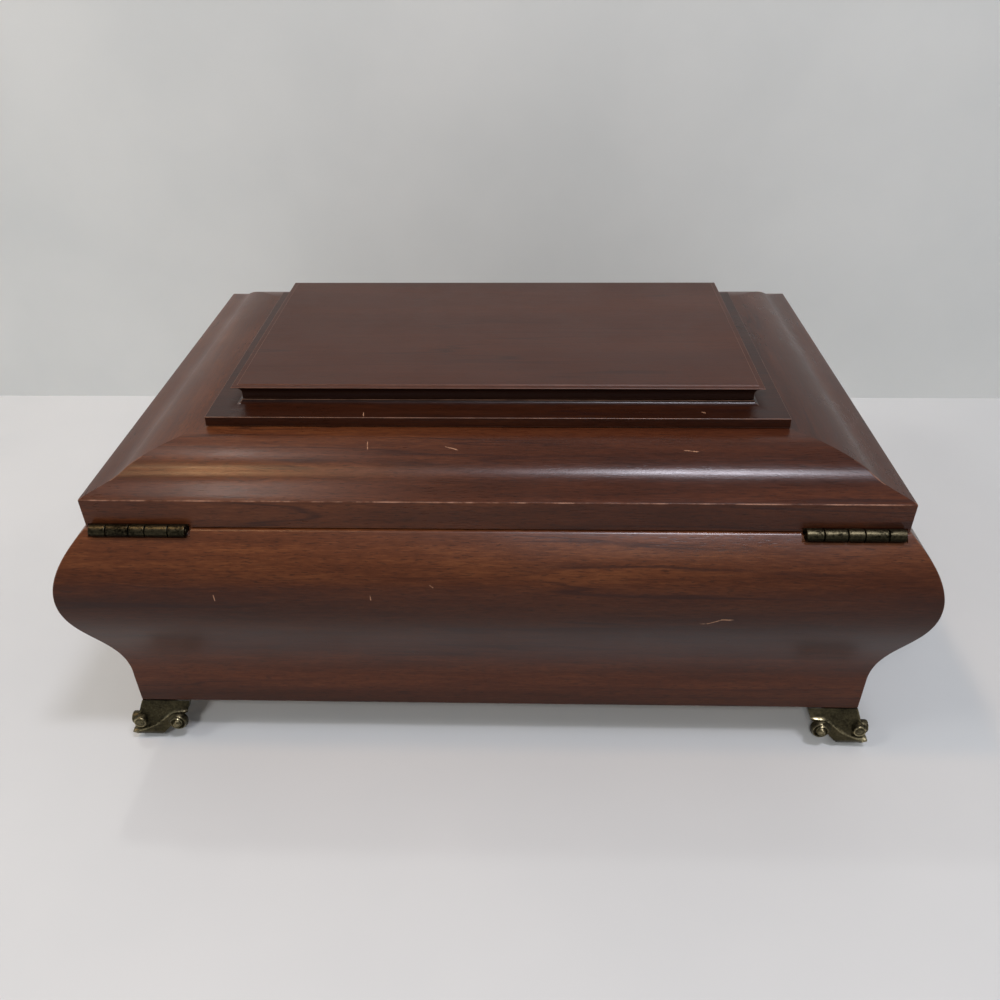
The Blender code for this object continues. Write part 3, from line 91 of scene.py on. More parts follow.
# The camera stands where the photo was taken, found from 18 points of the box
CAMERA_PLACE = (-11.22, 356.39, 269.06)
CAMERA_DOWN, CAMERA_TURN, CAMERA_ROLL = (math.radians(a) for a in (31.973, -1.946, -0.692))
CAMERA_LENS = 34.5


def point_camera():
    sideways, forwards = math.sin(CAMERA_TURN), math.cos(CAMERA_TURN)
    flat = math.cos(CAMERA_DOWN)
    ahead = Vector((-sideways * flat, -forwards * flat, -math.sin(CAMERA_DOWN)))
    level = Vector((-forwards, sideways, 0))
    upright = level.cross(ahead)
    right = math.cos(CAMERA_ROLL) * level + math.sin(CAMERA_ROLL) * upright
    up = -math.sin(CAMERA_ROLL) * level + math.cos(CAMERA_ROLL) * upright
    camera = bpy.data.objects.new("camera", bpy.data.cameras.new("camera"))
    camera.data.lens = CAMERA_LENS
    camera.data.sensor_width = 36.0
    camera.data.clip_start = 0.01
    turn = Matrix((right, up, -ahead)).transposed().to_4x4()
    camera.matrix_world = Matrix.Translation(Vector(CAMERA_PLACE) * MM) @ turn
    bpy.context.scene.collection.objects.link(camera)
    bpy.context.scene.camera = camera


LAMPS = (
    # name, place, target, size, watts, colour, and the kind of light that it doesn't give
    ("warm_light", (430, 210, 1150), (40, 0, 60), (130, 90), 2.1, (1.0, 0.62, 0.32), None),
    ("cool_light", (-250, 400, 1150), (-40, 0, 60), (250, 120), 4.4, (0.9, 0.9, 1.0), None),
    ("cool_glint", (-268, 405, 1140), (-40, 0, 60), (120, 160), 14.5, (0.88, 0.87, 1.0), "diffuse"),
    ("front_light", (190, 1010, 900), (0, 0, 60), (190, 150), 4.9, (1.0, 0.985, 0.975), "glossy"),
    ("window_light", (900, 420, 950), (0, 0, 60), (280, 240), 2.5, (1.0, 0.985, 0.96), "glossy"),
    ("front_glint", (-170, 980, 900), (0, 0, 60), (190, 120), 0.55, (1.0, 0.93, 0.9), "diffuse"),
    ("warm_glint", (440, 205, 1140), (40, 0, 60), (110, 90), 1.3, (1.0, 0.66, 0.34), "diffuse"),
    ("back_light", (440, -420, 1150), (0, 0, 60), (70, 70), 1.3, (1.0, 0.98, 0.95), None),
)
ROOM_COLOUR = (0.93, 0.96, 1.0)
ROOM_STRENGTH = 0.35


def soft_light(name, place, target, size, watts, colour, lacks):
    """A lamp with a flat face at a place, turned to a target."""
    lamp = bpy.data.lights.new(name, "AREA")
    lamp.shape = "RECTANGLE"
    lamp.size, lamp.size_y = (s * MM for s in size)
    lamp.energy = watts
    lamp.color = colour
    thing = bpy.data.objects.new(name, lamp)
    away = Vector(place) - Vector(target)
    turn = away.to_track_quat("Z", "Y").to_matrix().to_4x4()
    thing.matrix_world = Matrix.Translation(Vector(place) * MM) @ turn
    bpy.context.scene.collection.objects.link(thing)
    if lacks:
        setattr(thing, "visible_" + lacks, False)


def light_scene():
    scene = bpy.context.scene
    scene.view_settings.view_transform = "Standard"
    world = bpy.data.worlds.new("room")
    world.use_nodes = True
    background = world.node_tree.nodes["Background"]
    background.inputs["Color"].default_value = (*ROOM_COLOUR, 1.0)
    background.inputs["Strength"].default_value = ROOM_STRENGTH
    scene.world = world
    for row in LAMPS:
        soft_light(*row)


class Amount:
    """A number that changes over a surface: one socket, with arithmetic."""

    def __init__(self, finish, socket):
        self.finish = finish
        self.socket = socket

    def worked(self, operation, *values):
        return self.finish.node("ShaderNodeMath", {"operation": operation}, dict(enumerate(values)))

    def __add__(self, other):
        return self.worked("ADD", self, other)

    def __radd__(self, other):
        return self.worked("ADD", other, self)

    def __sub__(self, other):
        return self.worked("SUBTRACT", self, other)

    def __rsub__(self, other):
        return self.worked("SUBTRACT", other, self)

    def __mul__(self, other):
        return self.worked("MULTIPLY", self, other)

    def __rmul__(self, other):
        return self.worked("MULTIPLY", other, self)

    def __abs__(self):
        return self.worked("ABSOLUTE", self)

    def highest(self, other):
        return self.worked("MAXIMUM", self, other)

    def sine(self):
        return self.worked("SINE", self)

    def between(self, low, high, to_low=0.0, to_high=1.0):
        """Goes from to_low to to_high as the amount goes from low to high, and stays there."""
        feeds = {"Value": self, "From Min": low, "From Max": high, "To Min": to_low, "To Max": to_high}
        return self.finish.node("ShaderNodeMapRange", {"interpolation_type": "SMOOTHSTEP"}, feeds)


class Finish:
    """A material: the plain values of its shader, and the nodes that vary some of them."""

    def __init__(self, name, colour, roughness, metallic=0.0, **others):
        self.material = bpy.data.materials.new(name)
        self.material.use_nodes = True
        self.tree = self.material.node_tree
        self.shader = self.tree.nodes["Principled BSDF"]
        plain = {"base_color": (*colour, 1.0), "roughness": roughness, "metallic": metallic, **others}
        for key, value in plain.items():
            label = key.replace("_", " ").title().replace("Ior", "IOR")
            self.shader.inputs[label].default_value = value

    def node(self, kind, settings=None, feeds=None, out=0):
        """Adds a node: its settings first, then the values or links of its sockets."""
        made = self.tree.nodes.new(kind)
        for key, value in (settings or {}).items():
            if key == "stops":
                ramp = made.color_ramp.elements
                while len(ramp) < len(value):
                    ramp.new(0.5)
                for stop, (place, colour) in zip(ramp, value):
                    stop.position = place
                    stop.color = (*colour, 1.0)
            else:
                setattr(made, key, value)
        for key, value in (feeds or {}).items():
            self.feed(made.inputs[key], value)
        return Amount(self, made.outputs[out])

    def feed(self, socket, value):
        if isinstance(value, Amount):
            self.tree.links.new(value.socket, socket)
        else:
            socket.default_value = value

    def place(self, scale, centre=(0, 0, 0), turn=(0, 0, 0)):
        """The point on the piece, in metres from the centre, turned and stretched."""
        spot = self.node("ShaderNodeTexCoord", out="Object")
        moved = self.node("ShaderNodeVectorMath", {"operation": "SUBTRACT"}, {0: spot, 1: centre})
        return self.node("ShaderNodeMapping", {}, {"Vector": moved, "Rotation": turn, "Scale": scale})

    def noise(self, scale, detail=2.0, rough=0.5, centre=0.0, bend=0.0):
        """Noise. The scale and the centre are one number, or one for each of X, Y and Z."""
        scale, centre = (c if isinstance(c, tuple) else (c, c, c) for c in (scale, centre))
        feeds = {"Vector": self.place(scale, centre), "Scale": 1.0, "Detail": detail,
                 "Roughness": rough, "Distortion": bend}
        return self.node("ShaderNodeTexNoise", {}, feeds)

    def part(self, spot, name):
        """The X, Y or Z of a point."""
        return self.node("ShaderNodeSeparateXYZ", {}, {0: spot}, name)

    def axis(self, name):
        """How far along X, Y or Z the point is, in millimetres."""
        return self.part(self.place(IN_MILLIMETRES), name)

    def mark(self, name):
        """A number kept on the mesh."""
        return self.node("ShaderNodeAttribute", {"attribute_name": name}, {}, "Fac")

    def ramp(self, amount, *stops):
        return self.node("ShaderNodeValToRGB", {"stops": stops}, {0: amount})

    def mix(self, share, one, two, blend="MIX"):
        one, two = ((*c, 1.0) if isinstance(c, tuple) else c for c in (one, two))
        settings = {"data_type": "RGBA", "blend_type": blend}
        return self.node("ShaderNodeMix", settings, {0: share, 6: one, 7: two}, 2)

    def grey(self, amount):
        """The same number as a colour."""
        return self.node("ShaderNodeCombineXYZ", {}, {0: amount, 1: amount, 2: amount})

    def shine(self, colour, roughness, height=None, depth=None, strength=0.6, alpha=None):
        """Links what varies. The height is in shares of the depth, which is in millimetres."""
        for key, value in (("Base Color", colour), ("Roughness", roughness), ("Alpha", alpha)):
            if value is not None:
                self.feed(self.shader.inputs[key], value)
        if height is not None:
            feeds = {"Strength": strength, "Distance": depth * MM, "Height": height}
            self.feed(self.shader.inputs["Normal"], self.node("ShaderNodeBump", {}, feeds))
        return self.material


SCRATCHES = (
    # the place of the middle, the slant in degrees, the length, and how far the line bends
    ((42.8, 77.0, 115.9), 82, 3.4, 0.8),
    ((14.4, 77.0, 114.9), 18, 5.2, 0.6),
    ((45.8, 58.0, 117.4), 70, 2.0, 0.6),
    ((-65.5, 77.0, 114.1), 4, 5.6, 0.5),
    ((-71.8, 60.0, 120.0), 20, 1.6, 0.5),
    ((-73.8, 104.0, 64.6), -9, 12.0, 2.6),
    ((92.2, 105.0, 73.2), 80, 2.6, 0.5),
    ((40.2, 105.0, 73.8), 85, 2.0, 0.5),
    ((20.0, 105.0, 78.6), 35, 1.8, 0.5),
)


def scratches(finish):
    """A few short pale scratches on the side with the hinges, as they slant in the photo."""
    total = None
    wander = finish.noise(170, 1.0)
    for middle, slant, length, bend in SCRATCHES:
        turn = (-CAMERA_DOWN, math.radians(slant), 0)
        spot = finish.place(IN_MILLIMETRES, tuple(c * MM for c in middle), turn)
        along = finish.part(spot, "X")
        across = finish.part(spot, "Z") + (wander - 0.5) * bend
        near = finish.part(spot, "Y")
        line = abs(across).between(0.06, 0.22, 1, 0)
        line = line * abs(along).between(length * 0.3, length * 0.5, 1, 0)
        line = line * abs(near).between(14, 18, 1, 0)
        total = line if total is None else total.highest(line)
    return total * finish.noise(900, 1.0).between(0.3, 0.5, 0.3, 1.0)


def wall_glow(finish):
    """Painted light, partly thinner staining: the walls are painted lighter and browner over the
    shoulder, which the lamps above light, and darker towards -X, away from the lamps at +X.
    """
    patch = finish.noise((9, 9, 50), 2.0).between(0.3, 0.6, 0.6, 1.0)
    return finish.axis("Z").between(73, 91) * patch * finish.axis("X").between(-120, -30, 0.62, 1.0)


def plinth_stain(finish):
    """Painted shade: the whole plinth painted darker, and darkest in the cove under the panel, where
    shade falls.
    """
    return finish.axis("Z").between(118.9, 120.0, 0.55, 0.3)


def panel_stain(finish):
    """Painted shade: dark under the panel's lip, where shade falls."""
    return finish.axis("Z").between(PANEL_TOP - 2.2, PANEL_TOP - 0.9, 0.3, 1.0)


def wall_stain(finish):
    """Painted shade and painted reflection: the walls are painted darkest round the belly, which the
    lamps above light least, lighter in the hollow of the waist, where the table is seen in it, and darker
    again at the bottom.
    """
    height = finish.axis("Z")
    shoulder = height.between(64, 92, 0.58, 0.9)
    waist = height.between(30, 58, 0.75, 0.0) * height.between(17, 28, 0.35, 1.0)
    return shoulder + waist


def lid_glow(finish):
    """Painted light: the lid's moulding is painted lighter and browner towards +X, the end that the lamps
    at +X light.
    """
    patch = finish.noise((11, 16, 16), 2.0).between(0.35, 0.62, 0.35, 1.0)
    return finish.axis("X").between(-60, 110) * patch * 0.8


def mahogany(name, along, seed, gloss=0.3, scratched=False, painted_light=None, painted_shade_and_reflection=None,
             figured=0.7, rub=0.1):
    """Dark red staining on straight-grained wood under satin lacquer, gone through at the arrises by
    wear.

    The painted_light is the share of a lighter, lit copy of the colours that is painted in, and the
    painted_shade_and_reflection multiplies the colour for painted shade and painted reflection. Figured
    says how strong the figure is, and rub how little is left, where it is least, of the wear and of the
    painted highlight that share one mark on the arrises.
    """
    finish = Finish(name, (0.056, 0.016, 0.008), gloss, specular_ior_level=0.23)
    ways = {"X": (1.0, 0.0), "Y": (0.0, 1.0)}[along]

    def stretched(lengthways, sideways):
        return tuple(lengthways * share + sideways * (1 - share) for share in ways) + (sideways,)

    centre = (seed, seed * 0.7, seed * 1.3)
    figure = finish.noise(stretched(3.5, 42), 4.0, 0.6, centre, bend=0.5)
    streaks = finish.noise(stretched(22, 330), 3.0, 0.65, centre)
    fibres = finish.noise(stretched(190, 1900), 2.0, 0.7, centre)
    pores = finish.noise(stretched(330, 2600), 1.0, 0.5, centre).between(0.3, 0.42, 1, 0)
    rings = abs(finish.noise(stretched(5.5, 95), 2.0, 0.5, centre, bend=0.3) - 0.5)
    rings = rings.between(0.0, 0.022, 1, 0)
    rings = rings * finish.noise(stretched(12, 30), 2.0, 0.5, centre).between(0.45, 0.62)
    tone = (figure * 0.4 + streaks * 0.3 + fibres * 0.3 - 0.5) * figured + 0.5
    colour = finish.ramp(tone, (0.38, (0.024, 0.0066, 0.0028)),
                         (0.5, (0.052, 0.0136, 0.0052)), (0.62, (0.092, 0.026, 0.009)))
    if painted_light:
        # Painted light: a lighter, lit copy of the wood's colours, mixed in as the painted_light share
        # says.
        lit = finish.ramp(tone, (0.38, (0.046, 0.0132, 0.0046)),
                          (0.5, (0.104, 0.031, 0.0102)), (0.62, (0.2, 0.069, 0.022)))
        colour = finish.mix(painted_light(finish), colour, lit)
    if painted_shade_and_reflection:
        # Painted shade and painted reflection: the colour multiplied darker, or lighter, as the function
        # says.
        colour = finish.mix(1.0, colour, finish.grey(painted_shade_and_reflection(finish)), "MULTIPLY")
    colour = finish.mix(pores * 0.5, colour, (0.014, 0.006, 0.004))
    colour = finish.mix(rings * 0.62, colour, (0.016, 0.005, 0.004))
    patches = finish.noise(120, 4.0, 0.6, centre)
    # Pale wear at the arrises, with the painted highlight that the same mark carries on the panel's ends.
    rubbed_and_highlit = finish.mark("worn") * patches.between(0.4, 0.62, rub, 1)
    colour = finish.mix(rubbed_and_highlit * 0.7, colour, (0.38, 0.2, 0.13))
    if scratched:
        marks = scratches(finish)
        colour = finish.mix(marks * 0.7, colour, (0.5, 0.27, 0.16))
        rubbed_and_highlit = rubbed_and_highlit.highest(marks)
    smears = finish.noise(30, 3.0, 0.6).between(0.35, 0.7)
    roughness = gloss + smears * 0.05 + rubbed_and_highlit * 0.2 + (fibres - 0.5) * 0.12
    grit = finish.noise(1500, 2.0, 0.7)
    height = fibres * 0.6 + streaks * 0.2 - pores * 0.35 - rings * 0.2 + grit * 0.7
    return finish.shine(colour, roughness, height, 0.03)


def shaded(colour, share):
    """A colour made darker or lighter."""
    return tuple(share * c for c in colour)


def antique_brass(name, seed, bright):
    """Brass darkened to a brown olive, bright on its high spots where it wears, and painted bright where
    the mark carries a highlight, on the tops of the hinge barrels.
    """
    finish = Finish(name, (0.1, 0.08, 0.045), 0.4, 1.0)
    clouds = finish.noise(160, 4.0, 0.6, seed)
    grit = finish.noise(1300, 2.0, 0.6, seed)
    dark, middle, light = (shaded(colour, bright) for colour in
                           ((0.028, 0.024, 0.015), (0.1, 0.085, 0.046), (0.2, 0.17, 0.095)))
    colour = finish.ramp(clouds * 0.6 + grit * 0.4, (0.34, dark), (0.52, middle), (0.72, light))
    # Bright wear on the high spots, and painted highlight on the tops of the hinge barrels.
    rubbed_and_highlit = finish.mark("worn") * (clouds * 0.5 + grit * 0.5).between(0.36, 0.56)
    colour = finish.mix(rubbed_and_highlit * (0.25 + 0.6 * bright), colour, (0.5, 0.43, 0.25))
    roughness = 0.46 - rubbed_and_highlit * 0.2 + (grit - 0.5) * 0.16
    return finish.shine(colour, roughness, grit * 0.5 + clouds * 0.5, 0.09)


WINE = (0.13, 0.008, 0.018)


def velvet(name, seed):
    """Short wine-red pile, with patches brushed lighter and darker."""
    finish = Finish(name, WINE, 0.9, sheen_weight=0.55, sheen_roughness=0.35,
                    sheen_tint=(0.95, 0.62, 0.62, 1.0), specular_ior_level=0.15)
    brushed = finish.noise(46, 3.0, 0.55, seed, bend=0.8)
    pile = finish.noise(2600, 2.0, 0.6, seed)
    tone = finish.ramp(brushed * 0.65 + pile * 0.35, (0.36, shaded(WINE, 0.45)), (0.52, WINE),
                       (0.68, shaded(WINE, 1.65)))
    return finish.shine(tone, 0.85 + (pile - 0.5) * 0.2, pile * 0.7 + brushed * 0.3, 0.25)


RIBBON_RED = (0.3, 0.02, 0.04)


def ribbon_satin(name):
    """Close ribs across the ribbon, and a few thicker threads."""
    finish = Finish(name, RIBBON_RED, 0.32, sheen_weight=0.2, specular_ior_level=0.6)
    rows = (finish.axis("Z") * 21.0).sine() * 0.5 + 0.5
    ends = (finish.axis("Y") * 25.0).sine() * 0.5 + 0.5
    slubs = finish.noise((90, 900, 90), 2.0)
    tone = finish.mix(rows * 0.25 + slubs * 0.3, RIBBON_RED, shaded(RIBBON_RED, 1.7))
    return finish.shine(tone, 0.3 + ends * 0.1 + slubs * 0.08, rows * 0.6 + ends * 0.4, 0.05, 0.4)


BRASS = (0.72, 0.5, 0.2)
STEEL = (0.56, 0.57, 0.58)
ZINC = (0.42, 0.43, 0.44)


def bright_metal(name, colour, roughness, brushed, seed):
    """Machined metal: fine lines along or round it, and a little staining."""
    finish = Finish(name, colour, roughness, 1.0)
    lines = finish.noise(brushed, 2.0, 0.6, seed)
    clouds = finish.noise(120, 4.0, 0.6, seed).between(0.35, 0.7)
    tone = finish.mix(clouds * 0.24 + (lines - 0.5) * 0.3, colour, shaded(colour, 0.52))
    edge = finish.mark("worn")
    tone = finish.mix(edge * 0.4, tone, tuple(min(1.0, 1.25 * c) for c in colour))
    roughness = roughness + clouds * 0.12 + (lines - 0.5) * 0.14 - edge * 0.06
    return finish.shine(tone, roughness, lines, 0.02, 0.5)


def cast_zinc(name, seed):
    """Rough from the mould, with dull clouds."""
    finish = Finish(name, ZINC, 0.5, 1.0)
    grit = finish.noise(1100, 3.0, 0.6, (seed, 0, 0))
    clouds = finish.noise(140, 3.0, 0.5, (seed, 0, 0))
    tone = finish.ramp(grit * 0.4 + clouds * 0.6, (0.35, shaded(ZINC, 0.6)), (0.65, ZINC))
    return finish.shine(tone, 0.42 + (grit - 0.5) * 0.3, grit, 0.06)


NYLON = (0.72, 0.72, 0.66)


def moulded_plastic(name):
    """Pale nylon, a little yellowed in patches."""
    finish = Finish(name, NYLON, 0.42, subsurface_weight=0.05)
    grit = finish.noise(1500, 2.0)
    clouds = finish.noise(90, 3.0).between(0.35, 0.7)
    tone = finish.mix(clouds * 0.25, NYLON, shaded(NYLON, 0.78))
    return finish.shine(tone, 0.38 + clouds * 0.08 + (grit - 0.5) * 0.12, grit, 0.01, 0.4)


def plywood(name):
    """Thin rotary-cut birch, rough and unlacquered."""
    finish = Finish(name, (0.4, 0.26, 0.14), 0.75, specular_ior_level=0.3)
    figure = finish.noise((5, 22, 22), 4.0, 0.6, bend=1.4)
    fibres = finish.noise((60, 1500, 1500), 2.0, 0.6)
    flecks = finish.noise((170, 900, 900), 1.0).between(0.28, 0.36, 1, 0)
    tone = finish.ramp(figure * 0.7 + fibres * 0.3, (0.35, (0.27, 0.16, 0.08)),
                       (0.65, (0.5, 0.34, 0.19)))
    tone = finish.mix(flecks * 0.4, tone, (0.2, 0.11, 0.05))
    return finish.shine(tone, 0.7 + (fibres - 0.5) * 0.2, fibres, 0.06)


def mirror_glass(name):
    """Silvered glass with a faint haze."""
    finish = Finish(name, (0.92, 0.93, 0.93), 0.02, 1.0)
    haze = finish.noise(26, 4.0, 0.6).between(0.45, 0.8)
    tone = finish.mix(haze * 0.3, (0.93, 0.94, 0.94), (0.8, 0.82, 0.83))
    return finish.shine(tone, 0.012 + haze * 0.05)


def clear_plastic(name):
    """A see-through cover with fine scuffs along it, thicker to look through at its edges."""
    finish = Finish(name, (0.75, 0.82, 0.82), 0.06, coat_weight=0.3, coat_roughness=0.05)
    scuffs = finish.noise((60, 900, 60), 3.0).between(0.55, 0.75)
    edge = finish.mark("worn")
    tone = finish.mix(scuffs * 0.3, (0.75, 0.82, 0.82), (0.9, 0.92, 0.92))
    return finish.shine(tone, 0.05 + scuffs * 0.25, alpha=0.14 + scuffs * 0.06 + edge * 0.35)


def painted_board(name, colour, lighter, spread):
    """Pale board for the table and the wall, faintly cloudy.

    Only its face shows. From behind it is clear, so the box can be seen past it from every side.
    """
    finish = Finish(name, colour, 0.55, specular_ior_level=0.35)
    clouds = finish.noise(spread, 4.0, 0.55).between(0.3, 0.75)
    grit = finish.noise(700, 2.0)
    tone = finish.mix(clouds, colour, lighter)
    face = Amount(finish, finish.shader.outputs[0])
    clear = finish.node("ShaderNodeBsdfTransparent")
    behind = finish.node("ShaderNodeNewGeometry", out="Backfacing")
    either = finish.node("ShaderNodeMixShader", {}, {0: behind, 1: face, 2: clear})
    finish.feed(finish.tree.nodes["Material Output"].inputs[0], either)
    return finish.shine(tone, 0.5 + (grit - 0.5) * 0.1, clouds * 0.7 + grit * 0.3, 0.15, 0.25)


def link(name, bm, material):
    """Turns a bmesh in millimetres into an object in metres, at the origin."""
    bmesh.ops.scale(bm, vec=(MM, MM, MM), verts=bm.verts)
    mesh = bpy.data.meshes.new(name)
    bm.to_mesh(mesh)
    bm.free()
    mesh.materials.append(material)
    thing = bpy.data.objects.new(name, mesh)
    bpy.context.scene.collection.objects.link(thing)
    return thing


def smoothed(thing, angle=40, weighted=True):
    """Shades the faces smooth, up to an angle in degrees past which an edge stays sharp."""
    thing.data.shade_smooth()
    thing.data.set_sharp_from_angle(angle=math.radians(angle))
    if weighted:
        change = thing.modifiers.new("flat_faces_stay_flat", "WEIGHTED_NORMAL")
        change.keep_sharp = True
    return thing


def applied(thing):
    """Keeps what the modifiers made, and drops the modifiers."""
    bpy.context.view_layer.update()
    graph = bpy.context.evaluated_depsgraph_get()
    mesh = bpy.data.meshes.new_from_object(thing.evaluated_get(graph))
    old = thing.data
    thing.modifiers.clear()
    thing.data = mesh
    bpy.data.meshes.remove(old)
    return thing


def cut_out(thing, cutters):
    """Takes the cutters' shapes out of the piece."""
    for number, cutter in enumerate(cutters):
        change = thing.modifiers.new("cut_" + str(number), "BOOLEAN")
        change.operation = "DIFFERENCE"
        change.object = cutter
    return applied(thing)


def curve(p0, p1, p2, p3, steps):
    """Points on a curve after its first point, up to its last."""
    points = []
    for i in range(1, steps + 1):
        t = i / steps
        shares = ((1 - t) ** 3, 3 * (1 - t) ** 2 * t, 3 * (1 - t) * t * t, t ** 3)
        pulls = tuple(zip(shares, (p0, p1, p2, p3)))
        points.append(tuple(sum(share * p[k] for share, p in pulls) for k in (0, 1)))
    return points


def spun(bm, row, closed, steps):
    """Turns a row of points once round Z, as a skin."""
    edges = [bm.edges.new(pair) for pair in zip(row, row[1:])]
    if closed:
        edges.append(bm.edges.new((row[-1], row[0])))
    bmesh.ops.spin(bm, geom=row + edges, cent=(0, 0, 0), axis=(0, 0, 1), angle=2 * math.pi, steps=steps,
                   use_merge=True)


def open_ends_closed(bm):
    bmesh.ops.holes_fill(bm, edges=[e for e in bm.edges if e.is_boundary], sides=0)


def swept_round(profile, half, closed=True):
    """A profile of (outset, height) led round a rectangle, with mitred corners."""
    half_x, half_y = half
    bm = bmesh.new()
    row = [bm.verts.new((half_y + out, half_y + out, z)) for out, z in profile]
    spun(bm, row, closed, 4)
    bmesh.ops.remove_doubles(bm, verts=bm.verts, dist=0.001)
    for v in bm.verts:
        v.co.x += math.copysign(half_x - half_y, v.co.x)
    if not closed:
        open_ends_closed(bm)
    bmesh.ops.recalc_face_normals(bm, faces=bm.faces)
    return bm


def rounded(bm, edges, width, segments, clamp=False):
    """Rounds the edges and tells what it made."""
    return bmesh.ops.bevel(bm, geom=edges, offset=width, offset_type="OFFSET", segments=segments,
                           profile=0.5, affect="EDGES", clamp_overlap=clamp, material=-1)


def worn_arrises(bm, width, angle=28, segments=3, amount=1.0):
    """Rounds the sharp edges, and marks what was rounded, where the finish wears first."""
    layer = bm.verts.layers.float.get("worn") or bm.verts.layers.float.new("worn")
    least = math.radians(angle)
    sharp = [e for e in bm.edges if len(e.link_faces) == 2 and e.calc_face_angle(0) > least]
    made = rounded(bm, sharp, width, segments, True)
    round_faces = set(made["faces"])
    for v in made["verts"]:
        if all(face in round_faces for face in v.link_faces):
            v[layer] = amount
    return bm


def node_piece(thing, node):
    """The piece stands for a node: it rides on its body, and the node is hidden."""
    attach(thing, NODES[node]["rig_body"])
    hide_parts(node)


def turned(profile, centre, axis, steps, closed=False):
    """A profile of (radius, height) turned about X or Z through the centre."""
    bm = bmesh.new()
    spun(bm, [bm.verts.new((r, 0, h)) for r, h in profile], closed, steps)
    bmesh.ops.remove_doubles(bm, verts=bm.verts, dist=0.0005)
    lie = {"Z": Matrix(), "X": Matrix.Rotation(math.pi / 2, 4, "Y")}
    bmesh.ops.transform(bm, matrix=Matrix.Translation(centre) @ lie[axis], verts=bm.verts)
    bmesh.ops.recalc_face_normals(bm, faces=bm.faces)
    return bm


def block(low, high):
    """A square block between two corners."""
    bm = bmesh.new()
    size = Vector(high) - Vector(low)
    middle = (Vector(high) + Vector(low)) / 2
    place = Matrix.Translation(middle) @ Matrix.Diagonal((*size, 1))
    bmesh.ops.create_cube(bm, size=1, matrix=place)
    return bm


def bisected(bm, point, away):
    """Cuts off what lies past the point, in the direction away, and closes the cut."""
    bmesh.ops.bisect_plane(bm, geom=bm.verts[:] + bm.edges[:] + bm.faces[:], dist=1e-4, plane_co=point,
                           plane_no=away, clear_outer=True)
    open_ends_closed(bm)


def joined(*parts):
    """Several bmeshes in one."""
    whole = bmesh.new()
    whole.verts.layers.float.new("worn")
    for bm in parts:
        mesh = bpy.data.meshes.new("part")
        bm.to_mesh(mesh)
        bm.free()
        whole.from_mesh(mesh)
        bpy.data.meshes.remove(mesh)
    return whole


def body_profile():
    """Swelling shoulder, undercut waist, rabbet for the bottom panel."""
    top, belly, waist = (0.3, BODY_TOP), (11.4, BODY_TOP - 22.5), (-1.5, BODY_BOTTOM + 12.8)
    points = [(-12.0, BODY_TOP), top]
    points += curve(top, (top[0] + 6.7, top[1] - 6.5), (belly[0], belly[1] + 8.8), belly, 30)
    points += curve(belly, (belly[0], belly[1] - 15.8), (waist[0], waist[1] + 17.9), waist, 36)
    points += [(-1.9, BODY_BOTTOM), (-9.0, BODY_BOTTOM), (-9.0, FLOOR_Z), (-12.0, FLOOR_Z)]
    return points


def rail_profile():
    """Square rim, ogee up to the plinth, recess under the lid."""
    rim, middle, top = (0.0, RIM_TOP), (-11.9, RIM_TOP + 4.6), (-29.0, OGEE_TOP)
    points = [(-0.3, LID_BOTTOM), rim]
    points += curve(rim, (-3.75, RIM_TOP + 1.6), (middle[0] + 3.4, middle[1] - 2.66), middle, 24)
    points += curve(middle, (middle[0] - 3.4, middle[1] + 2.66), (top[0] + 6.0, top[1]), top, 24)
    points += [(-36.0, OGEE_TOP), (-36.0, RECESS_TOP), (-14.0, RECESS_TOP), (-14.0, LID_BOTTOM)]
    return points


def mitred_sides(profile, width, wear):
    """The four sides of a frame, cut apart at the mitres."""
    whole = worn_arrises(swept_round(profile, RIM_HALF), width, amount=wear)
    middle = RIM_HALF[0] - RIM_HALF[1]
    cuts = {"back": ((1, -1), (-1, -1)), "front": ((1, 1), (-1, 1)),
            "right": ((-1, -1), (-1, 1)), "left": ((1, -1), (1, 1))}
    sides = {}
    for side, planes in cuts.items():
        bm = whole.copy()
        for way in planes:
            x = {"right": middle, "left": -middle}.get(side, middle * way[0])
            bisected(bm, (x, 0, 0), (*way, 0))
        bmesh.ops.recalc_face_normals(bm, faces=bm.faces)
        sides[side] = bm
    whole.free()
    return sides


LEAF_DEPTH = 12.0
LEAF_THICK = 0.9
MORTISE_PLAY = 0.3
RECESS_PLAY = 1.1


def hinge_ends(sign):
    """Where a hinge begins and ends along X."""
    ends = (sign * HINGE_INNER_END, sign * (HINGE_INNER_END + HINGE_LENGTH))
    return min(ends), max(ends)


def hinge_cutters():
    """The mortises for the leaves and the round recesses behind the barrels."""
    cutters = []
    for sign in (-1, 1):
        low, high = hinge_ends(sign)
        play = MORTISE_PLAY
        mortise = block((low - play, RIM_HALF[1] - LEAF_DEPTH - play, BODY_TOP - LEAF_THICK - play),
                        (high + play, RIM_HALF[1] + 2 * BARREL_RADIUS, LID_BOTTOM + LEAF_THICK + play))
        radius, start, end = BARREL_RADIUS + GAP, low - RECESS_PLAY, high + RECESS_PLAY
        recess = turned([(0, start), (radius, start), (radius, end), (0, end)], (0, *HINGE_AXIS), "X", 40)
        for kind, bm in (("mortise", mortise), ("recess", recess)):
            cutters.append(link(kind + ("_left" if sign < 0 else "_right"), bm, None))
    return cutters


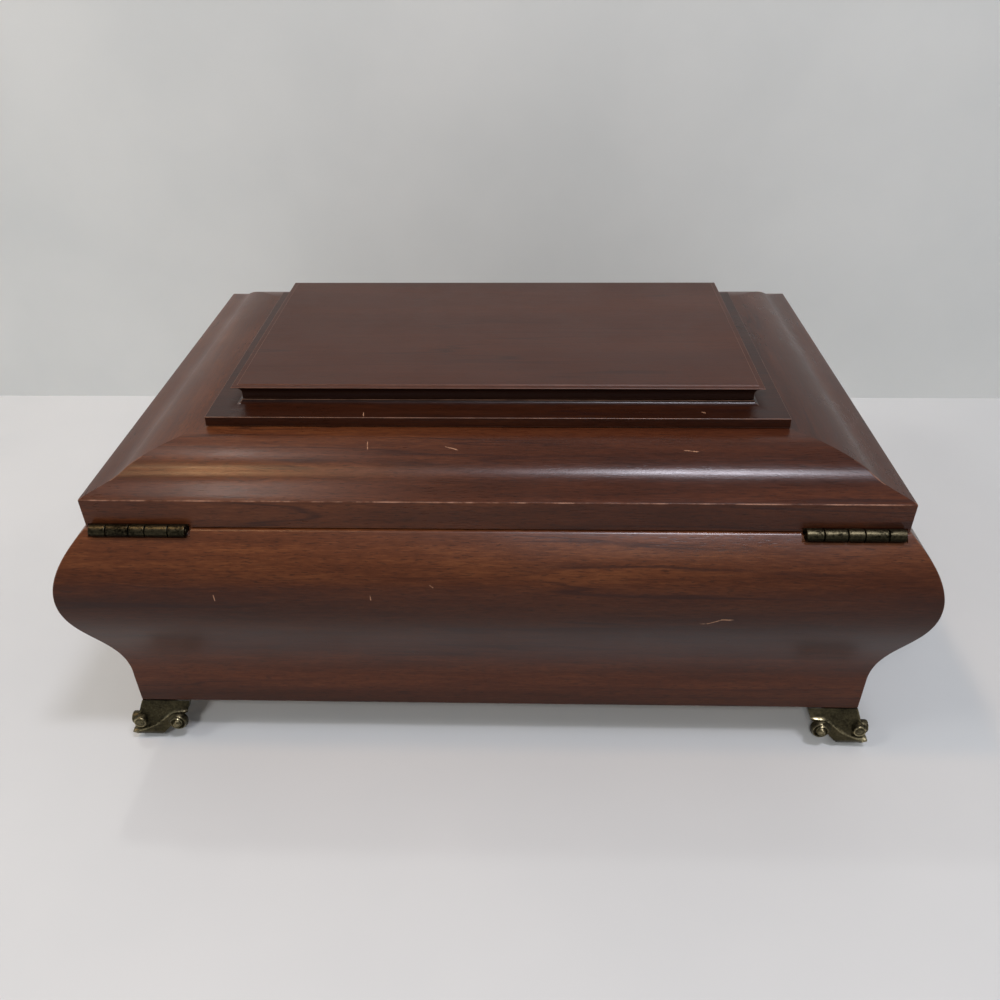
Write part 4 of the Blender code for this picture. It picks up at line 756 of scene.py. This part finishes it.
def make_wood():
    cutters = hinge_cutters()
    seeds = {"front": 0.31, "back": 0.0, "left": 0.57, "right": 0.83}
    frames = (
        # name, profile, rounding, wear, shift of the figure, gloss, painted light, painted shade and
        # reflection
        ("body_wall_", body_profile(), 0.45, 0.5, 0.0, 0.3, wall_glow, wall_stain),
        ("lid_rail_", rail_profile(), 0.38, 1.0, 0.2, 0.28, lid_glow, None),
    )
    for prefix, profile, width, wear, shift, gloss, painted_light, painted_shade_and_reflection in frames:
        for side, bm in mitred_sides(profile, width, wear).items():
            name = prefix + side
            along = "X" if side in ("front", "back") else "Y"
            seed = seeds[side] + shift
            material = mahogany(name + "_mahogany", along, seed, gloss, side == "back", painted_light, painted_shade_and_reflection)
            piece = link(name + "_moulding", bm, material)
            if side == "back":
                cut_out(piece, cutters)
            node_piece(smoothed(piece), name)
    for cutter in cutters:
        bpy.data.objects.remove(cutter)
    make_plinth()


def make_plinth():
    """The slab with its cove, and the panel on it, with its thin lip."""
    slab = PLINTH_BOTTOM + 3.5
    start, neck = (-40.0, slab), (-44.7, PLINTH_TOP)
    profile = [(-34.0, PLINTH_BOTTOM), (-34.0, slab), start]
    profile += curve(start, (start[0] - 2.6, slab), (neck[0], neck[1] - 1.1), neck, 14)
    bm = worn_arrises(swept_round(profile, RIM_HALF, closed=False), 0.28, amount=0.7)
    material = mahogany("plinth_mahogany", "X", 1.3, 0.28, True, painted_shade_and_reflection=plinth_stain, rub=0.5)
    node_piece(smoothed(link("lid_plinth_cove", bm, material)), "lid_plinth")
    neck, tip = (-45.0, PANEL_BOTTOM + 1.9), (-42.2, PANEL_TOP - 0.7)
    shelf = PANEL_TOP - 0.35
    profile = [(neck[0], PANEL_BOTTOM), neck]
    profile += curve(neck, (neck[0], neck[1] + 1.8), (tip[0] - 1.4, tip[1] - 0.5), tip, 12)
    profile += curve(tip, (tip[0], tip[1] + 0.25), (tip[0] - 0.15, shelf - 0.06),
                     (tip[0] - 0.5, shelf - 0.04), 6)
    profile += [(tip[0] - 1.85, shelf), (tip[0] - 2.05, PANEL_TOP)]
    bm = worn_arrises(swept_round(profile, RIM_HALF, closed=False), 0.11, 30, 2, amount=0.6)
    layer = bm.verts.layers.float.get("worn")
    # Painted highlight, partly wear: the top of the lip is marked paler at the panel's two ends, 0.9,
    # where the side lamps catch it, and 0.25 along the front and back.
    lip = tip[0] - 0.12
    for v in bm.verts:
        out_x, out_y = abs(v.co.x) - RIM_HALF[0], abs(v.co.y) - RIM_HALF[1]
        if max(out_x, out_y) > lip and v.co.z > PANEL_TOP - 0.8:
            v[layer] = 0.9 if out_x > lip else 0.25
    material = mahogany("panel_mahogany", "X", 2.1, 0.36, painted_shade_and_reflection=panel_stain, figured=0.35, rub=0.6)
    node_piece(smoothed(link("lid_top_panel_board", bm, material)), "lid_top_panel")


HINGE_BRIGHT = 0.14
PIN_END = 0.4


def make_hinges():
    for label, sign in (("left", -1), ("right", 1)):
        low, high = hinge_ends(sign)
        spans, start = [], low
        for length in KNUCKLES:
            spans.append((start + GAP / 2, start + length - GAP / 2))
            start += length
        spans[0] = (low, spans[0][1])
        spans[-1] = (spans[-1][0], high)
        for owner, own, bottom in (("body", spans[0::2], BODY_TOP - LEAF_THICK),
                                   ("lid", spans[1::2], LID_BOTTOM)):
            parts = [hinge_plate(low, high, bottom, owner)]
            parts += [hinge_knuckle(a, b, bottom) for a, b in own]
            name = "hinge_" + label + "_" + owner + "_leaf"
            brass = antique_brass(name + "_brass", low, HINGE_BRIGHT)
            node_piece(smoothed(link(name + "_knuckled", joined(*parts), brass), 50), name)
        neck, start, end = PIN_RADIUS - PIN_END, low - PIN_END, high + PIN_END
        pin = [(0, start), (neck, start), (PIN_RADIUS, low), (PIN_RADIUS, high), (neck, end), (0, end)]
        name = "hinge_" + label + "_pin"
        brass = antique_brass(name + "_brass", low + 3, HINGE_BRIGHT)
        piece = link(name + "_round", turned(pin, (0, *HINGE_AXIS), "X", 28), brass)
        node_piece(smoothed(piece, 50), name)


def hinge_knuckle(start, end, bottom):
    """A rolled knuckle and the tongue that joins it to its leaf."""
    inner, outer, ease = PIN_RADIUS + GAP, BARREL_RADIUS, 0.22
    ring = [(inner, start), (outer - ease, start), (outer - 0.06, start + 0.08), (outer, start + ease),
            (outer, end - ease), (outer - 0.06, end - 0.08), (outer - ease, end), (inner, end)]
    bm = turned(ring, (0, *HINGE_AXIS), "X", 40, closed=True)
    layer = bm.verts.layers.float.new("worn")
    # Wear and painted highlight: the top of the barrel, and the top of its ends, are marked paler, as the
    # lamps above light them.
    for v in bm.verts:
        above = (v.co.z - HINGE_AXIS[1]) / BARREL_RADIUS
        near_end = min(v.co.x - start, end - v.co.x) < 0.3
        v[layer] = max(0.0, above) ** 3 * 0.14 + (0.16 if near_end and above > 0 else 0.0)
    tongue = block((start, HINGE_AXIS[0] - BARREL_RADIUS - 0.4, bottom),
                   (end, HINGE_AXIS[0] - inner - 0.1, bottom + LEAF_THICK))
    return joined(bm, tongue)


def hinge_plate(low, high, bottom, owner):
    """The leaf, with three countersunk screws in it."""
    top, outer = bottom + LEAF_THICK, HINGE_AXIS[0] - BARREL_RADIUS - GAP
    bm = block((low, RIM_HALF[1] - LEAF_DEPTH, bottom), (high, outer, top))
    corners = [e for e in bm.edges
               if abs(e.verts[0].co.z - e.verts[1].co.z) > LEAF_THICK / 2 and e.verts[0].co.y < 90]
    rounded(bm, corners, 1.2, 6)
    worn_arrises(bm, 0.12, 60, 2)
    layer = bm.verts.layers.float.get("worn")
    for v in bm.verts:
        v[layer] = max(v[layer], 0.3)
    parts = [bm]
    face, way = (top, 1) if owner == "body" else (bottom, -1)
    screw = ((0, -0.4), (1.75, -0.4), (1.75, 0.02), (1.5, 0.08), (0, 0.1))
    for share, y in ((0.18, 88.5), (0.5, 91.5), (0.82, 88.5)):
        x = low + share * (high - low)
        parts.append(turned([(radius, face + way * rise) for radius, rise in screw], (x, y, 0), "Z", 24))
    return joined(*parts)


# Feet: a wing runs from the corner, where s is 0, along each side
FOOT_WING = 18.0
FOOT_PAD = 1.6
FOOT_CLIMB = 11.5
FOOT_THICK = 2.0
FOOT_INSET = 1.9
FOOT_BRIGHT = 0.6
# s and height of the middle, radius, how far it stands proud
TOE_BUTTON = (-1.0, 8.4, 2.4, 2.0)
SCROLL = (13.1, 8.4, 3.7, 1.5)


def foot_outset(z):
    """How far the foot's face stands out at a height: upright at the box, flaring to the toe."""
    share = max(0.0, min(1.0, (FOOT_TOP - z) / (FOOT_TOP - 4.0)))
    tucked = max(0.0, 4.0 - z) / 4.0
    return 3.4 * share ** 0.85 - 3.0 * tucked ** 2


def foot_low(s):
    """The height of the wing's lower edge: flat under the toe, then climbing to the box."""
    t = max(0.0, min(1.0, (s - FOOT_PAD) / (FOOT_WING - FOOT_PAD)))
    return FOOT_CLIMB * t * t * (3 - 2 * t)


def foot_ridge(s):
    """The height of the sharp ridge that sweeps from under the toe to the top of the scroll."""
    t = max(0.0, min(1.0, (s + 0.5) / 13.9))
    return 4.1 + 8.1 * t * t * (3 - 2 * t)


def foot_relief(s, z):
    """The cast relief on a wing: a sharp ridge, a hollow band under it, and a smooth plate above it."""
    low, ridge = foot_low(s), foot_ridge(s)
    slant = 1 / math.hypot(1, (foot_ridge(s + 0.2) - foot_ridge(s - 0.2)) / 0.4)
    above = (z - ridge) * slant
    if above > 0:
        proud = 1.1 * math.exp(-(above / 0.42) ** 1.3)
    else:
        down = min(1.0, -above / max(0.4, (ridge - low) * slant))
        proud = 0.42 + 0.68 * (1 - down) ** 2.2 + 0.2 * down ** 3
    return proud, math.exp(-(above / 0.28) ** 2)


def foot_wing():
    """A wing's face, flat at first, then laid to its outline and relief. It's led past the corner."""
    bm = bmesh.new()
    bmesh.ops.create_grid(bm, x_segments=76, y_segments=72, size=1)
    layer = bm.verts.layers.float.new("worn")
    for v in bm.verts:
        across = (v.co.x + 1) / 2
        share = (v.co.y + 1) / 2
        s = FOOT_WING * across
        low = foot_low(s)
        z = low + share * (FOOT_TOP - low)
        proud, crest = foot_relief(s, z)
        out = foot_outset(z) + proud * (1 - across ** 12)
        lean = max(0.0, 1 - s / 6.0)
        corner = math.exp(-(s / 0.4) ** 2)
        v[layer] = min(1.0, crest + 0.55 * corner)
        v.co = (s - 0.25 * across ** 5 * (FOOT_TOP - z) - out * lean, -out, z)
    bmesh.ops.recalc_face_normals(bm, faces=bm.faces)
    outward = sum(f.normal.y for f in bm.faces)
    if outward > 0:
        bmesh.ops.reverse_faces(bm, faces=bm.faces)
    return bm


def on_wing(bm, s, z, proud):
    """Lays a round form, made lying down, against a wing's face."""
    bmesh.ops.recalc_face_normals(bm, faces=bm.faces)
    bmesh.ops.rotate(bm, cent=(0, 0, 0), matrix=Matrix.Rotation(math.pi / 2, 3, "X"), verts=bm.verts)
    bmesh.ops.translate(bm, vec=(s, -foot_outset(z) - proud, z), verts=bm.verts)
    return bm


def toe_button(s, z, radius, proud):
    """A round button: a rolled rim, a narrow groove and a slightly full face."""
    # share of the radius, rise, wear
    rows = ((1.0, -proud - 0.8, 0.0), (1.0, -0.5, 0.1), (0.98, -0.24, 0.5), (0.9, -0.04, 1.0),
            (0.8, 0.0, 1.0), (0.72, -0.1, 0.4), (0.66, -0.24, 0.0), (0.6, -0.2, 0.0),
            (0.52, -0.06, 0.25), (0.3, 0.06, 0.3), (0.0, 0.1, 0.3))
    profile = [(0, -proud - 0.8)] + [(radius * share, rise) for share, rise, worn in rows]
    bm = turned(profile, (0, 0, 0), "Z", 40)
    layer = bm.verts.layers.float.new("worn")
    for v in bm.verts:
        away = math.hypot(v.co.x, v.co.y) / radius
        share, rise, worn = min(rows, key=lambda row: abs(row[0] - away) + 0.5 * abs(row[1] - v.co.z))
        v[layer] = worn
    return on_wing(bm, s, z, proud)


def scroll_boss(s, z, radius, proud):
    """The ridge's end, which winds round a domed boss."""
    bm = bmesh.new()
    steps, rings = 72, 34
    row = [bm.verts.new((radius * i / rings, 0, 0)) for i in range(rings + 1)]
    row.append(bm.verts.new((radius * 1.02, 0, -0.3 * radius)))
    row.append(bm.verts.new((radius * 0.96, 0, -proud - 0.8)))
    spun(bm, row, False, steps)
    bmesh.ops.remove_doubles(bm, verts=bm.verts, dist=0.0005)
    layer = bm.verts.layers.float.new("worn")
    for v in bm.verts:
        away = math.hypot(v.co.x, v.co.y) / radius
        if v.co.z < -0.01:
            continue
        turn = (0.25 - math.atan2(v.co.y, v.co.x) / (2 * math.pi)) % 1.0
        crest = max(math.exp(-((away - (0.93 - 0.36 * (turn + lap))) / 0.075) ** 2) for lap in (0, 1))
        boss = max(0.0, 1 - (away / 0.44) ** 2) ** 0.5
        edge = max(0.0, away - 0.9) / 0.1
        hollow = 0.35 * (1 - boss) * (1 - crest)
        v.co.z = 0.55 * crest * (1 - edge) + 1.25 * boss - 0.45 * edge ** 2 - hollow
        v[layer] = min(1.0, crest ** 2 * (1 - edge) + 0.8 * boss ** 3)
    return on_wing(bm, s, z, proud)


def make_feet():
    """One foot, made at the corner of the two axes, is turned to each corner of the box."""
    wing = foot_wing()
    bmesh.ops.solidify(wing, geom=wing.faces[:], thickness=FOOT_THICK)
    half = joined(wing, toe_button(*TOE_BUTTON), scroll_boss(*SCROLL))
    swap = Matrix(((0, 1, 0, 0), (1, 0, 0, 0), (0, 0, 1, 0), (0, 0, 0, 1)))
    other = half.copy()
    bmesh.ops.transform(other, matrix=swap, verts=other.verts)
    bmesh.ops.reverse_faces(other, faces=other.faces)
    tab = block((1, 1, FOOT_TOP - 1.6), (12, 12, FOOT_TOP - 0.1))
    bisected(tab, (8.0, 8.0, 0), (1, 1, 0))
    screw = ((0, 2.4), (0.5, 2.4), (1.9, 1.9), (1.9, 1.5), (0, 1.5))
    head = turned([(radius, FOOT_TOP - drop) for radius, drop in screw], (5.4, 5.4, 0), "Z", 24)
    whole = joined(half, other, tab, head)
    corners = (("front_left", -1, -1), ("front_right", 1, -1), ("back_right", 1, 1), ("back_left", -1, 1))
    for quarter, (label, sign_x, sign_y) in enumerate(corners):
        bm = whole.copy()
        turn = Matrix.Rotation(quarter * math.pi / 2, 3, "Z")
        bmesh.ops.rotate(bm, cent=(0, 0, 0), matrix=turn, verts=bm.verts)
        corner = (sign_x * (RIM_HALF[0] - FOOT_INSET), sign_y * (RIM_HALF[1] - FOOT_INSET), 0)
        bmesh.ops.translate(bm, vec=corner, verts=bm.verts)
        name = "foot_" + label
        piece = link(name + "_cast", bm, antique_brass(name + "_brass", 0.2 * quarter, FOOT_BRIGHT))
        node_piece(smoothed(piece, 60, False), name)
    whole.free()


def merged_copy(node):
    """A node's mesh as one skin, in millimetres, with flat parts in one face each."""
    bm = bmesh.new()
    bm.from_mesh(NODES[node].data)
    bmesh.ops.remove_doubles(bm, verts=bm.verts, dist=1e-6)
    bmesh.ops.scale(bm, vec=(1 / MM, 1 / MM, 1 / MM), verts=bm.verts)
    bmesh.ops.dissolve_limit(bm, angle_limit=math.radians(0.5), verts=bm.verts, edges=bm.edges,
                             delimit={"NORMAL"})
    return bm


def dress(node, material, width, angle=35, sharp=45):
    """A node's own shape with its edges broken and a finish."""
    bm = merged_copy(node)
    if width:
        worn_arrises(bm, width, angle, 2)
    else:
        bm.verts.layers.float.new("worn")
    piece = smoothed(link(node + "_dressed", bm, material), sharp)
    node_piece(piece, node)
    return piece


def corners_of(node):
    """The low and the high corner of a node's box, in millimetres."""
    return tuple(Vector(corner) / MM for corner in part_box(node))


def make_linings():
    """Boards wrapped in velvet, with rounded edges, and thin pads on board."""
    for number, node in enumerate(("bay_side_partition", "bay_front_partition", "lower_divider",
                                   "tray_base", "floor_lining_main", "floor_lining_well")):
        low, high = corners_of(node)
        bm = block(low, high)
        radius = min(1.2, 0.42 * min(high - low))
        rounded(bm, bm.edges[:], radius, 4)
        piece = link(node + "_velvet", bm, velvet(node + "_pile", 0.3 * number))
        smoothed(piece, 80)
        node_piece(piece, node)
    for number, node in enumerate(("wall_lining", "tray_frame", "tray_dividers")):
        piece = dress(node, velvet(node + "_pile", 2 + 0.3 * number), 0.35, 35, 80)


STUFFING_FRAMES = 9
STUFFING_PRESSURE = 4.0


def stuffed(thing, voxel, reach):
    """Fills a cover: the skin swells, but no point goes further than the reach along X, Y and Z."""
    change = thing.modifiers.new("even_mesh", "REMESH")
    change.mode = "VOXEL"
    change.voxel_size = voxel * MM
    applied(thing)
    before = [v.co.copy() for v in thing.data.vertices]
    cover = thing.modifiers.new("cover", "CLOTH")
    cover.settings.use_pressure = True
    cover.settings.uniform_pressure_force = STUFFING_PRESSURE
    cover.settings.effector_weights.gravity = 0
    cover.point_cache.frame_start = 1
    cover.point_cache.frame_end = STUFFING_FRAMES
    for number in range(1, STUFFING_FRAMES + 1):
        bpy.context.scene.frame_set(number)
    applied(thing)
    for v, start in zip(thing.data.vertices, before):
        for k, most in enumerate(reach):
            moved = v.co[k] - start[k]
            v.co[k] = start[k] + most * MM * math.tanh(moved / (most * MM))
    bpy.context.scene.frame_set(1)
    finer = thing.modifiers.new("finer", "SUBSURF")
    finer.levels = finer.render_levels = 1
    return applied(thing)


def kept_inside(thing, low, high):
    """Flattens what touches the walls of the space that the pad lies in."""
    for v in thing.data.vertices:
        for k in range(3):
            v.co[k] = min(high[k] * MM, max(low[k] * MM, v.co[k]))


def within(value):
    """A share, kept between 0 and 1."""
    return min(1.0, max(0.0, value))


LINING_BORDER = 20.3
LINING_LOFT = 0.9


def make_lid_inside():
    """The mirror, the board behind it, and the stuffed border with its seams at the mitres."""
    dress("lid_mirror", mirror_glass("silvered_glass"), 0.0)
    dress("lid_core_panel", plywood("lid_core_birch"), 0.2)
    low, high = corners_of("lid_lining")
    face = low.z + LINING_LOFT
    outer, inner = (0, low.z + 2.4), (-LINING_BORDER, low.z + 2.8)
    crown = [(0, high.z), outer]
    crown += curve(outer, (-0.2, face), (-3.0, face), (-9.0, face), 8)
    crown += curve((-9.0, face), (-15.0, face), (-19.6, face), inner, 8)
    crown.append((-LINING_BORDER, high.z))
    bm = swept_round(crown, (high.x - GAP, high.y - GAP))
    piece = link("lid_lining_pad", bm, velvet("lid_lining_pile", 4.1))
    stuffed(piece, 1.7, (0.25, 0.25, LINING_LOFT))
    for v in piece.data.vertices:
        x, y, z = v.co / MM
        seam = abs((high.x - abs(x)) - (high.y - abs(y)))
        dent = 0.9 * math.exp(-(seam / 0.9) ** 2) * within((high.z - z) / 3.0)
        wave = math.sin(0.55 * (x + y)) * math.sin(0.31 * (x - 2 * y))
        v.co.z += (dent + 0.12 * wave * within(high.z - z - 2)) * MM
    kept_inside(piece, low, high)
    node_piece(smoothed(piece, 80, False), "lid_lining")


ROLLS = 5


def make_ring_cushion():
    """Stuffed rolls side by side, lower at their ends, with a slit for the rings between each two."""
    low, high = corners_of("ring_cushion")
    pitch = (high.y - low.y) / ROLLS
    rolls = []
    for number in range(ROLLS):
        start = low.y + number * pitch
        bm = block((low.x + 0.4, start + 0.35, low.z), (high.x - 0.4, start + pitch - 0.35, high.z - 0.5))
        upper = [e for e in bm.edges if e.verts[0].co.z + e.verts[1].co.z > 2 * low.z + 1]
        rounded(bm, upper, 0.46 * pitch, 8)
        rolls.append(bm)
    piece = link("ring_cushion_rolls", joined(*rolls), velvet("ring_cushion_pile", 5.2))
    stuffed(piece, 1.1, (0.35, 0.3, 0.5))
    for v in piece.data.vertices:
        x, y, z = v.co / MM
        end = within(5.0 * math.sin(math.pi * within((x - low.x) / (high.x - low.x))))
        number = min(ROLLS - 1, int((y - low.y) / pitch))
        slack = 0.12 * math.sin(0.23 * x + 2.1 * number) + 0.09 * math.sin(0.71 * x + 1.3 * number)
        height = (z - low.z) / (high.z - low.z)
        v.co.z = (low.z + (z - low.z) * (0.8 + 0.2 * end) + slack * height) * MM
        v.co.y += slack * 0.6 * height * MM
    kept_inside(piece, low, high)
    node_piece(smoothed(piece, 80, False), "ring_cushion")


RIBBON_THICK = 0.45
RIBBON_SHORTER = 4.0


def make_ribbons():
    """A loop of satin ribbon at each end of the tray, to lift it by. Its far end hangs shorter."""
    for side, way in (("left", 1), ("right", -1)):
        node = "tray_ribbon_" + side
        low, high = corners_of(node)
        wall = low.x if way == 1 else high.x
        bend = (high.x - low.x - RIBBON_THICK) / 2
        climb = high.z - bend - RIBBON_THICK / 2 - low.z
        total = 2 * climb - RIBBON_SHORTER + math.pi * bend
        bm = bmesh.new()
        bmesh.ops.create_grid(bm, x_segments=14, y_segments=80, size=1)
        for v in bm.verts:
            across, walked = v.co.x, (v.co.y + 1) / 2 * total
            turn = min(math.pi, max(0.0, (walked - climb) / bend))
            out = RIBBON_THICK / 2 + bend * (1 - math.cos(turn))
            fallen = max(0.0, walked - climb - math.pi * bend)
            height = low.z + min(walked, climb) + bend * math.sin(turn) - fallen
            hang = max(0.0, walked - climb) / total
            sway = 0.35 * hang * (1 + math.sin(0.5 * walked + 1.5 * across)) * math.sin(turn / 2)
            cupped = 0.18 * across ** 2 * math.sin(turn)
            y = (low.y + high.y) / 2 + across * ((high.y - low.y) / 2 - 0.1)
            v.co = (wall + way * (out - sway * 0.6), y, height - cupped)
        bmesh.ops.recalc_face_normals(bm, faces=bm.faces)
        bmesh.ops.solidify(bm, geom=bm.faces[:], thickness=RIBBON_THICK)
        piece = link(node + "_loop", bm, ribbon_satin("ribbon_" + side + "_satin"))
        node_piece(smoothed(piece, 50, False), node)
        total * MM


def make_inside():
    make_linings()
    make_lid_inside()
    make_ring_cushion()
    make_ribbons()
    dress("movement_cover", clear_plastic("cover_clear"), 0.25)
    dress("bottom_panel", plywood("bottom_birch"), 0.2)
    for side in ("left", "right"):
        dress("cover_cleat_" + side, mahogany("cover_cleat_" + side + "_wood", "Y", 3.0), 0.2)
    for side in ("front", "back"):
        dress("tray_cleat_" + side, mahogany("tray_cleat_" + side + "_wood", "X", 3.4), 0.2)


EVEN_GRAIN = 900
TURNED_GRAIN = (2600, 130, 130)
MACHINED = (
    # pieces, metal, its name, roughness, grain, rounding
    ("spring_barrel barrel_cap winding_key stop_rod stop_rod_guide governor_frame",
     BRASS, "_brass", 0.26, EVEN_GRAIN, 0.12),
    ("music_cylinder cylinder_wheel", BRASS, "_brass", 0.22, TURNED_GRAIN, 0.05),
    ("comb winding_arbor cylinder_arbor mainspring", STEEL, "_steel", 0.28, TURNED_GRAIN, 0.06),
)


def make_movement():
    for node in ("bedplate", "spring_bridge", "comb_base"):
        dress(node, cast_zinc(node + "_zinc", len(node) * 0.3), 0.15)
    for nodes, metal, label, roughness, grain, width in MACHINED:
        for node in nodes.split():
            dress(node, bright_metal(node + label, metal, roughness, grain, len(node) * 0.3), width)
    for node in ("governor_arbor", "governor_fly"):
        dress(node, moulded_plastic(node + "_nylon"), 0.05)


STAGE_HALF = 1500
WALL_Y = -199.0
WALL_HEIGHT = 330.0


def stage_board():
    bm = bmesh.new()
    bmesh.ops.create_grid(bm, x_segments=2, y_segments=2, size=STAGE_HALF)
    return bm


def make_stage():
    """The table and the wall behind it."""
    finish = painted_board("table_white", (0.6, 0.617, 0.622), (0.65, 0.662, 0.662), 5)
    table = link("table", stage_board(), finish)
    bm = stage_board()
    upright = Matrix.Rotation(-math.pi / 2, 3, "X")
    bmesh.ops.rotate(bm, cent=(0, 0, 0), matrix=upright, verts=bm.verts)
    bmesh.ops.translate(bm, vec=(0, WALL_Y, 0), verts=bm.verts)
    for v in bm.verts:
        v.co.z = (v.co.z + STAGE_HALF) / (2 * STAGE_HALF) * WALL_HEIGHT
    finish = painted_board("wall_grey", (0.61, 0.63, 0.62), (0.67, 0.685, 0.67), 7)
    wall = link("wall", bm, finish)
    wall.visible_shadow = False


point_camera()
light_scene()
make_stage()
make_wood()
make_hinges()
make_feet()
make_inside()
make_movement()
